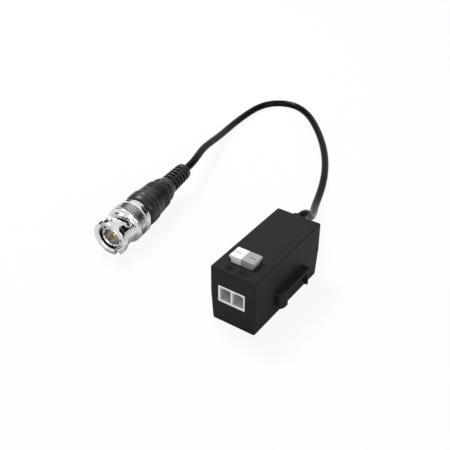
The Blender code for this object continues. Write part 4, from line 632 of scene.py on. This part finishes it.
def make_world():
    """White where it is seen, straight, mirrored or through glass, and a grey room to all else."""
    world = bpy.data.worlds.new("studio")
    bpy.context.scene.world = world
    world.use_nodes = True
    back = world.node_tree.nodes["Background"]
    ray = node(world, "ShaderNodeLightPath")
    seen = maths(world, "MAXIMUM", ray.outputs["Is Camera Ray"], ray.outputs["Is Glossy Ray"])
    seen = maths(world, "MAXIMUM", seen, ray.outputs["Is Transmission Ray"])
    pick = node(world, "ShaderNodeMix", data_type="RGBA")
    pick.inputs["A"].default_value = (ROOM_GREY, ROOM_GREY, ROOM_GREY, 1)
    pick.inputs["B"].default_value = (1, 1, 1, 1)
    wire(world, seen, pick.inputs["Factor"])
    wire(world, pick.outputs["Result"], back.inputs["Color"])
    back.inputs["Strength"].default_value = 1.0


def make_cards():
    """Dark cards that only mirror-like surfaces show, as beside a photographer's table."""
    mat = bpy.data.materials.new("card_black")
    mat.use_nodes = True
    shader_of(mat).inputs["Base Color"].default_value = (CARD_BLACK, CARD_BLACK, CARD_BLACK, 1)
    shader_of(mat).inputs["Specular IOR Level"].default_value = 0.0
    for name, place, width, height in CARDS:
        bm = bmesh.new()
        bmesh.ops.create_grid(bm, x_segments=1, y_segments=1, size=0.5)
        bmesh.ops.scale(bm, vec=(width, height, 1), verts=bm.verts)
        card = mesh_object(name, bm, mat)
        card.location = place
        aim(card, PLUG_MOUTH)
        for ray in ("camera", "diffuse", "transmission", "shadow", "volume_scatter"):
            setattr(card, f"visible_{ray}", False)


def make_lamps():
    for name, place, target, across, along, power in LAMPS:
        data = bpy.data.lights.new(name, "AREA")
        data.shape = "RECTANGLE"
        data.size = across
        data.size_y = along
        data.energy = power
        lamp = link(bpy.data.objects.new(name, data))
        lamp.location = place
        aim(lamp, target)


# Lead

def plug_axis():
    """The way from the plug's mouth to its boot."""
    flat = math.cos(PLUG_TILT)
    return Vector((flat * math.cos(PLUG_YAW), flat * math.sin(PLUG_YAW), math.sin(PLUG_TILT)))


def plug_matrix():
    """The plug's own frame: its Z runs from the mouth to the boot."""
    return Matrix.Translation(PLUG_MOUTH) @ plug_axis().to_track_quat("Z", "Y").to_matrix().to_4x4()


def natural_spline(points):
    """A natural cubic spline through points: gives its place at a length along the chords."""
    knots = np.array(points, dtype=float)
    chords = np.linalg.norm(np.diff(knots, axis=0), axis=1)
    starts = np.concatenate(([0.0], np.cumsum(chords)))
    size = len(knots)
    terms = np.eye(size)
    known = np.zeros((size, 3))
    for i in range(1, size - 1):
        before, after = chords[i - 1], chords[i]
        terms[i, i - 1:i + 2] = before, 2 * (before + after), after
        known[i] = 6 * ((knots[i + 1] - knots[i]) / after - (knots[i] - knots[i - 1]) / before)
    bend = np.linalg.solve(terms, known)

    def position(along):
        i = min(int(np.searchsorted(starts, along, side="right")) - 1, size - 2)
        chord = chords[i]
        left, right = (starts[i + 1] - along) / chord, (along - starts[i]) / chord
        curved = ((left ** 3 - left) * bend[i] + (right ** 3 - right) * bend[i + 1]) * chord * chord / 6
        return left * knots[i] + right * knots[i + 1] + curved

    return position, starts[-1]


def cable_line(frame):
    """Evenly spaced knots and their handles along the lead, and the lead's length."""
    start = Vector((COLLAR_X, COLLAR_MOUTH_Y + FIT_GAP, COLLAR_HEIGHT))
    axis = frame.to_3x3() @ Vector((0, 0, 1))
    end = frame @ Vector((0, 0, BOOT_END + FIT_GAP))
    points = [start, start + Vector((0, CABLE_RADIUS, 0)), *ROUTE, end + axis * CABLE_LEAD_IN, end]
    position, whole = natural_spline(points)
    fine = np.array([position(s) for s in np.linspace(0, whole, CABLE_FINE_STEPS * len(points))])
    run = np.concatenate(([0.0], np.cumsum(np.linalg.norm(np.diff(fine, axis=0), axis=1))))
    length = float(run[-1])

    def place(along):
        return Vector([np.interp(along, run, fine[:, k]) for k in range(3)])

    step = length / (CABLE_KNOTS - 1)
    reach = step * HANDLE_SHARE
    near = step * HEADING_SHARE
    line = []
    for i in range(CABLE_KNOTS):
        along = i * step
        here = place(along)
        way = (place(min(along + near, length)) - place(max(along - near, 0))).normalized()
        line.append((here, here - way * reach, here + way * reach))
    return line, length


def make_cable(frame, mats):
    """The free stretch of the lead, from the collar's mouth to the boot's end."""
    line, length = cable_line(frame)
    data = bpy.data.curves.new("lead", "CURVE")
    data.dimensions = "3D"
    data.bevel_depth = CABLE_RADIUS
    data.bevel_resolution = CABLE_ROUND_STEPS
    data.resolution_u = CABLE_CURVE_STEPS
    data.use_fill_caps = True
    spline = data.splines.new("BEZIER")
    spline.bezier_points.add(len(line) - 1)
    for point, (here, before, after) in zip(spline.bezier_points, line):
        point.handle_left_type = point.handle_right_type = "FREE"
        point.co = here
        point.handle_left = before
        point.handle_right = after
    data.materials.append(mats["cable_jacket"])
    cable = link(bpy.data.objects.new("lead", data))
    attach(cable, "balun")
    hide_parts("coax_cable")


def make_grommet(mats):
    """A soft ring that fills the gap between the collar and the lead."""
    seat = Matrix.Translation((COLLAR_X, COLLAR_MOUTH_Y, COLLAR_HEIGHT)) @ ALONG_Y
    inner = CABLE_RADIUS + FIT_GAP
    outer = COLLAR_BORE_RADIUS - FIT_GAP
    profile = [
        (outer, -GROMMET_DEPTH),
        (outer, -GROMMET_EDGE),
        (outer - GROMMET_EDGE, 0),
        (inner + GROMMET_EDGE / 2, 0),
        (inner, -GROMMET_EDGE / 2),
        (inner, -GROMMET_DEPTH),
    ]
    grommet = lathe("lead_grommet", profile, GROMMET_STEPS, seat, mats["black_pvc"])
    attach(grommet, "balun")


# Turned pieces

def lathe(name, profile, steps, frame, material, relief=None, smooth_angle=SMOOTH_ANGLE):
    """A closed profile of (radius, station) points turned about a frame's Z. A relief gives a
    point's radius from its radius, station and angle."""
    bm = bmesh.new()
    rings = []
    for radius, station in profile:
        ring = []
        for j in range(steps):
            angle = 2 * math.pi * j / steps
            reach = relief(radius, station, angle) if relief else radius
            place = Vector((reach * math.cos(angle), reach * math.sin(angle), station))
            ring.append(bm.verts.new(frame @ place))
        rings.append(ring)
    for i in range(len(rings)):
        low, high = rings[i], rings[(i + 1) % len(rings)]
        for j in range(steps):
            k = (j + 1) % steps
            bm.faces.new((low[j], low[k], high[k], high[j]))
    return mesh_object(name, bm, material, smooth_angle)


def rounded(points, radius):
    """A closed outline with each corner replaced by a short arc of about a radius."""
    out = []
    size = len(points)
    for i, point in enumerate(points):
        here = Vector(point)
        one = Vector(points[i - 1]) - here
        two = Vector(points[(i + 1) % size]) - here
        if one.angle(two) > STRAIGHT_ANGLE:
            out.append(point)
            continue
        reach = min(radius, one.length * ARC_REACH_SHARE, two.length * ARC_REACH_SHARE)
        start = here + one.normalized() * reach
        end = here + two.normalized() * reach
        for k in range(ARC_STEPS + 1):
            t = k / ARC_STEPS
            place = start * (1 - t) ** 2 + here * 2 * t * (1 - t) + end * t ** 2
            out.append((place.x, place.y))
    return out


# Coupling nut

def knurl_relief(radius, station, angle):
    """Presses the drum in between its ridges, running out at both ends."""
    if radius < NUT_SLEEVE_RADIUS + KNURL_DEPTH or not KNURL_START < station < KNURL_END:
        return radius
    edge = min(station - KNURL_START, KNURL_END - station)
    depth = KNURL_DEPTH * min(1, edge / KNURL_RUN_OUT)
    wave = (1 - math.cos(KNURL_COUNT * angle)) / 2
    return radius - depth * wave ** 2


def slot_outline(index, grow=0):
    """The edge of one J-shaped slot, as places on the unrolled wall: angle and station. It
    starts and ends before the nut's mouth, and may be grown outwards."""
    middle = (NUT_BORE_RADIUS + NUT_SLEEVE_RADIUS) / 2
    start = (SLOT_START + 2 * math.pi * index / SLOT_COUNT) * middle
    corner = Vector((start, SLOT_ENTRY))
    far = Vector((start + SLOT_SWEEP * middle, SLOT_END))
    run = (far - corner).normalized()
    side = Vector((-run.y, run.x))
    half = SLOT_HALF_WIDTH + grow
    end_radius = SLOT_END_RADIUS + grow
    inner = corner - side * half + run * (half + side.x * half) / run.x
    join = math.asin(half / end_radius)
    edge = [Vector((start + half, -SLOT_OVERRUN)), inner]
    for k in range(SLOT_ROUND_STEPS + 1):
        turn = (math.pi - join) * (2 * k / SLOT_ROUND_STEPS - 1)
        edge.append(far + (run * math.cos(turn) + side * math.sin(turn)) * end_radius)
    first = math.atan2(side.y, side.x)
    for k in range(SLOT_CORNER_STEPS + 1):
        turn = first + (math.pi - first) * k / SLOT_CORNER_STEPS
        edge.append(corner + Vector((math.cos(turn), math.sin(turn))) * half)
    edge.append(Vector((start - half, -SLOT_OVERRUN)))
    fine = []
    for before, after in zip(edge, edge[1:]):
        pieces = max(1, round((after - before).length / SLOT_EDGE_STEP))
        fine += [before.lerp(after, k / pieces) for k in range(pieces)]
    return [(place.x / middle, place.y) for place in fine + edge[-1:]]


def slot_cutter(index, frame):
    """A radial prism through the nut's wall, in the outline of one bayonet slot."""
    edge = slot_outline(index)
    bm = bmesh.new()
    rings = []
    for radius in (NUT_BORE_RADIUS - SLOT_OVERRUN, SLOT_CUTTER_RADIUS):
        ring = [frame @ Vector((radius * math.cos(a), radius * math.sin(a), s)) for a, s in edge]
        rings.append([bm.verts.new(place) for place in ring])
    inner, outer = rings
    size = len(edge)
    for j in range(size):
        k = (j + 1) % size
        bm.faces.new((inner[j], inner[k], outer[k], outer[j]))
    caps = [bm.faces.new(inner[::-1]), bm.faces.new(outer)]
    bmesh.ops.triangulate(bm, faces=caps, ngon_method="EAR_CLIP")
    bmesh.ops.recalc_face_normals(bm, faces=bm.faces)
    mesh = bpy.data.meshes.new(f"slot_cutter_{index}")
    bm.to_mesh(mesh)
    bm.free()
    return link(bpy.data.objects.new(mesh.name, mesh))


def cut_through(obj, cutters):
    """Cuts tools from an object for good and takes the tools away."""
    for cutter in cutters:
        step = obj.modifiers.new("cut", "BOOLEAN")
        step.operation = "DIFFERENCE"
        step.solver = "EXACT"
        step.object = cutter
    bpy.context.view_layer.update()
    shown = obj.evaluated_get(bpy.context.evaluated_depsgraph_get())
    mesh = bpy.data.meshes.new_from_object(shown)
    obj.modifiers.clear()
    obj.data = mesh
    for cutter in cutters:
        bpy.data.objects.remove(cutter, do_unlink=True)


def slot_lip(index, frame, mats):
    """The thin raised edge that is rolled round each bayonet slot."""
    edge = [(a, s) for a, s in slot_outline(index, LIP_RADIUS) if s > NUT_RIM_LENGTH]
    name = f"nut_slot_lip_{index}"
    data = bpy.data.curves.new(name, "CURVE")
    data.dimensions = "3D"
    data.bevel_depth = LIP_RADIUS
    data.bevel_resolution = LIP_ROUND_STEPS
    data.use_fill_caps = True
    line = data.splines.new("POLY")
    line.points.add(len(edge) - 1)
    for point, (angle, station) in zip(line.points, edge):
        x, y = NUT_SLEEVE_RADIUS * math.cos(angle), NUT_SLEEVE_RADIUS * math.sin(angle)
        point.co = (*(frame @ Vector((x, y, station))), 1)
    data.materials.append(mats["nickel"])
    lip = link(bpy.data.objects.new(name, data))
    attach(lip, "nut")
    return lip


def nut_profile():
    """The nut's rounded profile, with a sharp groove in its chamber for the retaining ring."""
    first, last = KNURL_START + KNURL_RUN_OUT, KNURL_END - KNURL_RUN_OUT
    stations = [KNURL_START, *np.linspace(first, last, KNURL_STATIONS), KNURL_END]
    outline = rounded([
        (NUT_RIM_RADIUS, 0),
        (NUT_RIM_RADIUS, NUT_RIM_LENGTH),
        (NUT_SLEEVE_RADIUS, NUT_RIM_LENGTH + NUT_RIM_RAMP),
        (NUT_SLEEVE_RADIUS, NUT_RAMP_START),
        (NUT_RADIUS, NUT_DRUM_START),
        *((NUT_RADIUS, float(station)) for station in stations),
        (NUT_RADIUS, NUT_LENGTH),
        (NUT_CHAMBER_RADIUS, NUT_LENGTH),
        (NUT_CHAMBER_RADIUS, NUT_SHOULDER),
        (NUT_BORE_RADIUS, NUT_SHOULDER),
        (NUT_BORE_RADIUS, NUT_MOUTH_CHAMFER),
        (NUT_BORE_RADIUS + NUT_MOUTH_CHAMFER, 0),
    ], NUT_EDGE)
    seat = next(i for i in range(1, len(outline))
                if outline[i - 1][1] > CLIP_END and outline[i][1] < CLIP_START)
    outline[seat:seat] = [
        (NUT_CHAMBER_RADIUS, CLIP_END + FIT_GAP),
        (CLIP_GROOVE_RADIUS, CLIP_END + FIT_GAP),
        (CLIP_GROOVE_RADIUS, CLIP_START - FIT_GAP),
        (NUT_CHAMBER_RADIUS, CLIP_START - FIT_GAP),
    ]
    return outline


def make_nut(frame, mats):
    """The coupling nut, with a fine knurl, rolled edges and two bayonet slots."""
    # Its finish has painted shade at the bottoms of the knurl's grooves
    nut = lathe("coupling_nut_detail", nut_profile(), KNURL_COUNT * KNURL_STEPS, frame,
                mats["nickel_knurl_shade"], knurl_relief, NUT_SMOOTH_ANGLE)
    cut_through(nut, [slot_cutter(index, frame) for index in range(SLOT_COUNT)])
    nut.data.shade_smooth()
    nut.data.set_sharp_from_angle(angle=NUT_SMOOTH_ANGLE)
    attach(nut, "nut")
    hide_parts("coupling_nut")
    return [nut] + [slot_lip(index, frame, mats) for index in range(SLOT_COUNT)]


# Plug body

def add_finger(bm, start, end, frame):
    """Adds one finger of the slotted sleeve, between two angles."""
    corners = (
        (SLEEVE_BORE_RADIUS, SLEEVE_START + SLEEVE_EDGE),
        (SLEEVE_BORE_RADIUS + SLEEVE_BORE_EDGE, SLEEVE_START),
        (SLEEVE_RADIUS - SLEEVE_EDGE, SLEEVE_START),
        (SLEEVE_RADIUS, SLEEVE_START + SLEEVE_EDGE),
        (SLEEVE_RADIUS, SLIT_END),
        (SLEEVE_BORE_RADIUS, SLIT_END),
    )
    rings = []
    for j in range(FINGER_STEPS + 1):
        angle = start + (end - start) * j / FINGER_STEPS
        c, s = math.cos(angle), math.sin(angle)
        rings.append([bm.verts.new(frame @ Vector((r * c, r * s, z))) for r, z in corners])
    size = len(corners)
    for before, after in zip(rings, rings[1:]):
        for j in range(size):
            k = (j + 1) % size
            bm.faces.new((before[j], before[k], after[k], after[j]))
    bm.faces.new(rings[0])
    bm.faces.new(rings[-1])


def make_fingers(frame, mats):
    """The sprung front of the body's sleeve, slit into fingers."""
    bm = bmesh.new()
    trim = SLIT_HALF / SLEEVE_RADIUS
    turn = 2 * math.pi / FINGER_COUNT
    for index in range(FINGER_COUNT):
        add_finger(bm, index * turn + trim, (index + 1) * turn - trim, frame)
    fingers = mesh_object("sleeve_fingers", bm, mats["nickel"])
    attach(fingers, "balun")
    return fingers


def make_plug_body(frame, mats):
    """The fingers, and the body behind them: sleeve, flange, barrel and bright rear collar."""
    fingers = make_fingers(frame, mats)
    outline = rounded([
        (SLEEVE_RADIUS, SLIT_END),
        (SLEEVE_RADIUS, FLANGE_START),
        (FLANGE_RADIUS, FLANGE_START),
        (FLANGE_RADIUS, FLANGE_END),
        (BARREL_RADIUS, FLANGE_END),
        (BARREL_RADIUS, BODY_COLLAR_START),
        (BODY_COLLAR_RADIUS, BODY_COLLAR_START),
        (BODY_COLLAR_RADIUS, BODY_COLLAR_END),
        (SPIGOT_RADIUS, BODY_COLLAR_END),
        (SPIGOT_RADIUS, SPIGOT_END),
        (STEM_RADIUS, SPIGOT_END),
        (STEM_RADIUS, STEM_END),
        (PIN_WAY_RADIUS, STEM_END),
        (PIN_WAY_RADIUS, BARREL_BORE_END),
        (SLEEVE_BORE_RADIUS, BARREL_BORE_END),
        (SLEEVE_BORE_RADIUS, SLIT_END),
    ], BODY_EDGE)
    body = lathe("plug_body_detail", outline, BODY_STEPS, frame, mats["nickel"],
                 smooth_angle=NUT_SMOOTH_ANGLE)
    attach(body, "balun")
    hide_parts("plug_body")
    return [body, fingers]


# Boot

def taper_radius(station):
    """The radius of the grooved taper."""
    share = (station - BOOT_TAPER_START) / (BOOT_TAPER_END - BOOT_TAPER_START)
    return BOOT_TAPER_START_RADIUS + (BOOT_TAPER_END_RADIUS - BOOT_TAPER_START_RADIUS) * share


def tail_radius(station):
    """The radius of the ringed tail, outside its slots."""
    share = (station - BOOT_BULB_END) / (BOOT_LENGTH - BOOT_BULB_END)
    return BOOT_WAIST_RADIUS + (BOOT_TAIL_RADIUS - BOOT_WAIST_RADIUS) * share


def boot_outline():
    """The boot's outer (radius, station) points up to its ringed tail, from its front face."""
    points = [(radius * MM, station * MM) for radius, station in BOOT_SWELL]
    for station in (BOOT_TAPER_START, BOOT_TAPER_MIDDLE):
        points.append((taper_radius(station), station))
    for i in range(BOOT_FINE_COUNT):
        middle = BOOT_FINE_FIRST + i * BOOT_FINE_PITCH
        for offset, share in BOOT_FINE_SHAPE:
            station = middle + offset * BOOT_FINE_HALF
            points.append((taper_radius(station) - share * BOOT_FINE_DEPTH, station))
    points += [(radius * MM, station * MM) for radius, station in BOOT_BULB]
    points.append((BOOT_WAIST_RADIUS, BOOT_BULB_END))
    return points


def boot_tail():
    """Points of the tail, close together where a slot's walls and rounded rims are."""
    offsets = [-offset for offset in BOOT_SLOT_OFFSETS[::-1]] + list(BOOT_SLOT_OFFSETS)
    points = []
    for row in range(BOOT_SLOT_ROWS):
        middle = BOOT_BULB_END + BOOT_SLOT_FIRST + row * BOOT_SLOT_PITCH
        for offset in offsets:
            station = middle + offset * BOOT_SLOT_HALF
            points.append((tail_radius(station), station))
    for drop, back in BOOT_TAIL_ROUND:
        points.append((BOOT_TAIL_RADIUS - drop * MM, BOOT_LENGTH - back * MM))
    return points


def boot_relief(radius, station, angle):
    """Sinks the slots into the tail, apart from their two bridges, with rounded rims."""
    behind = station - BOOT_START - BOOT_BULB_END - BOOT_SLOT_FIRST
    row = round(behind / BOOT_SLOT_PITCH)
    if radius < BOOT_SLOT_FLOOR or not 0 <= row < BOOT_SLOT_ROWS:
        return radius
    offset = abs(behind - row * BOOT_SLOT_PITCH) / BOOT_SLOT_HALF
    across = abs(radius * math.sin(angle - BOOT_BRIDGE_ANGLE))
    open_share = min(1, max(0, (across - BOOT_BRIDGE_HALF + BOOT_BRIDGE_INSET) / BOOT_BRIDGE_RAMP))
    sunk = float(np.interp(offset, BOOT_SLOT_OFFSETS, BOOT_SLOT_SHARES))
    bridge = min(sunk, BOOT_BRIDGE_SHARE)
    return radius - (radius - BOOT_SLOT_FLOOR) * (bridge + (sunk - bridge) * open_share)


def make_boot(frame, mats):
    """The moulded boot: a swelling band, a grooved taper, a bulb and a ringed tail."""
    inside = [
        (BOOT_BORE_RADIUS + BOOT_BORE_CHAMFER, BOOT_LENGTH),
        (BOOT_BORE_RADIUS, BOOT_LENGTH - BOOT_BORE_CHAMFER),
        (BOOT_BORE_RADIUS, BOOT_POCKET_LENGTH),
        (BOOT_POCKET_RADIUS, BOOT_POCKET_LENGTH - BOOT_POCKET_CONE),
        (BOOT_POCKET_RADIUS, 0),
    ]
    profile = [(radius, BOOT_START + station) for radius, station in boot_outline() + boot_tail() + inside]
    boot = lathe("plug_boot_detail", profile, BOOT_STEPS, frame, mats["black_pvc"], boot_relief,
                 BOOT_SMOOTH_ANGLE)
    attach(boot, "balun")
    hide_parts("plug_boot")
    return boot


# Springs

def make_spring(name, nodes, mats):
    """A sprung strip with softened edges."""
    bm = bmesh.new()
    bm.from_mesh(nodes[name].data)
    bmesh.ops.remove_doubles(bm, verts=bm.verts, dist=MERGE_DISTANCE)
    rims = [e for e in bm.edges if e.is_manifold and e.calc_face_angle() > SPRING_EDGE_ANGLE]
    bmesh.ops.bevel(bm, geom=rims, offset=SPRING_EDGE, segments=SPRING_EDGE_SEGMENTS, affect="EDGES",
                    clamp_overlap=True)
    spring = mesh_object(f"{name}_detail", bm, mats["spring_steel"], SPRING_SMOOTH_ANGLE)
    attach(spring, "balun")
    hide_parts(name)
    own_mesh(spring)
    return spring


def make_clamp_springs(nodes, mats):
    """The two clamps that the buttons press down to open the wire entries."""
    for side in ("plus", "minus"):
        make_spring(f"clamp_spring_{side}", nodes, mats)


def make_wave_washer(nodes, mats):
    """The wavy washer on the body's flange."""
    return make_spring("wave_washer", nodes, mats)


# Signs on the cover

def sign_outline(upright, grow):
    """The outline of a plus or a minus about its middle, grown outwards by a distance."""
    arm, half = SIGN_ARM + grow, SIGN_HALF_WIDTH + grow
    if not upright:
        return [(-arm, -half), (arm, -half), (arm, half), (-arm, half)]
    corner = [(half, -arm), (half, -half), (arm, -half)]
    return [(c * x - s * y, s * x + c * y) for c, s in ((1, 0), (0, 1), (-1, 0), (0, -1))
            for x, y in corner]


def make_sign(name, x, upright, mats):
    """A raised plus or minus."""
    bm = bmesh.new()
    levels = ((SIGN_RISE, HOUSING_TOP - FIT_GAP), (0, HOUSING_TOP + SIGN_RISE))
    foot, head = ([bm.verts.new((x + i, SIGN_Y + j, z)) for i, j in sign_outline(upright, grow)]
                  for grow, z in levels)
    for k in range(len(foot)):
        bm.faces.new((foot[k - 1], foot[k], head[k], head[k - 1]))
    bm.faces.new(head)
    bm.faces.new(foot[::-1])
    return mesh_object(name, bm, mats["sign_black"])


def make_sign_ring(name, x, mats):
    """The thin raised ring round a sign."""
    profile = [
        (SIGN_RING_RADIUS + SIGN_RING_EDGE * 2, -FIT_GAP),
        (SIGN_RING_RADIUS + SIGN_RING_EDGE, SIGN_RISE / 2),
        (SIGN_RING_RADIUS - SIGN_RING_EDGE, SIGN_RISE / 2),
        (SIGN_RING_RADIUS - SIGN_RING_EDGE * 2, -FIT_GAP),
    ]
    seat = Matrix.Translation((x, SIGN_Y, HOUSING_TOP))
    return lathe(name, profile, SIGN_RING_STEPS, seat, mats["sign_black"])


def make_signs(mats):
    """A plus and a minus in thin rings, moulded on the top in front of the two buttons."""
    for name, x in zip(("sign_plus", "sign_minus"), SIGN_XS):
        sign = make_sign(name, x, name == "sign_plus", mats)
        for piece in (sign, make_sign_ring(f"{name}_ring", x, mats)):
            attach(piece, "balun")


# Nodes carried over from the CAD

def soften(obj, width):
    """Gives an object's sharp edges a small bevel."""
    edge = obj.modifiers.new("soft_edges", "BEVEL")
    edge.width = width
    edge.segments = EDGE_SEGMENTS
    edge.limit_method = "ANGLE"
    edge.angle_limit = EDGE_ANGLE
    edge.harden_normals = True


def dress_nodes(frame_table, mats):
    """Gives every node its finish and, where its edges show, a small bevel."""
    for part in frame_table["record"]["subparts"]:
        name = part["node"]
        obj = frame_table["nodes"][name]
        # The terminal's body takes the white with painted shade in its wire entries
        finish_name = "white_plastic_entry_shade" if name == "terminal_body" else part["material_slot"]
        for place in obj.material_slots:
            place.material = mats[finish_name]
        if name in EDGE_WIDTHS:
            soften(obj, EDGE_WIDTHS[name])


def main():
    frame_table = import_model()
    nodes = frame_table["nodes"]
    make_camera()
    mats = make_materials()
    plug = plug_matrix()
    make_clamp_springs(nodes, mats)
    washer = make_wave_washer(nodes, mats)
    on_lead = [*make_nut(plug, mats), *make_plug_body(plug, mats), make_boot(plug, mats), washer]
    make_cable(plug, mats)
    make_grommet(mats)
    make_signs(mats)
    dress_nodes(frame_table, mats)
    make_floor()
    make_world()
    make_cards()
    make_lamps()
    bpy.context.scene.view_settings.view_transform = "Standard"


main()
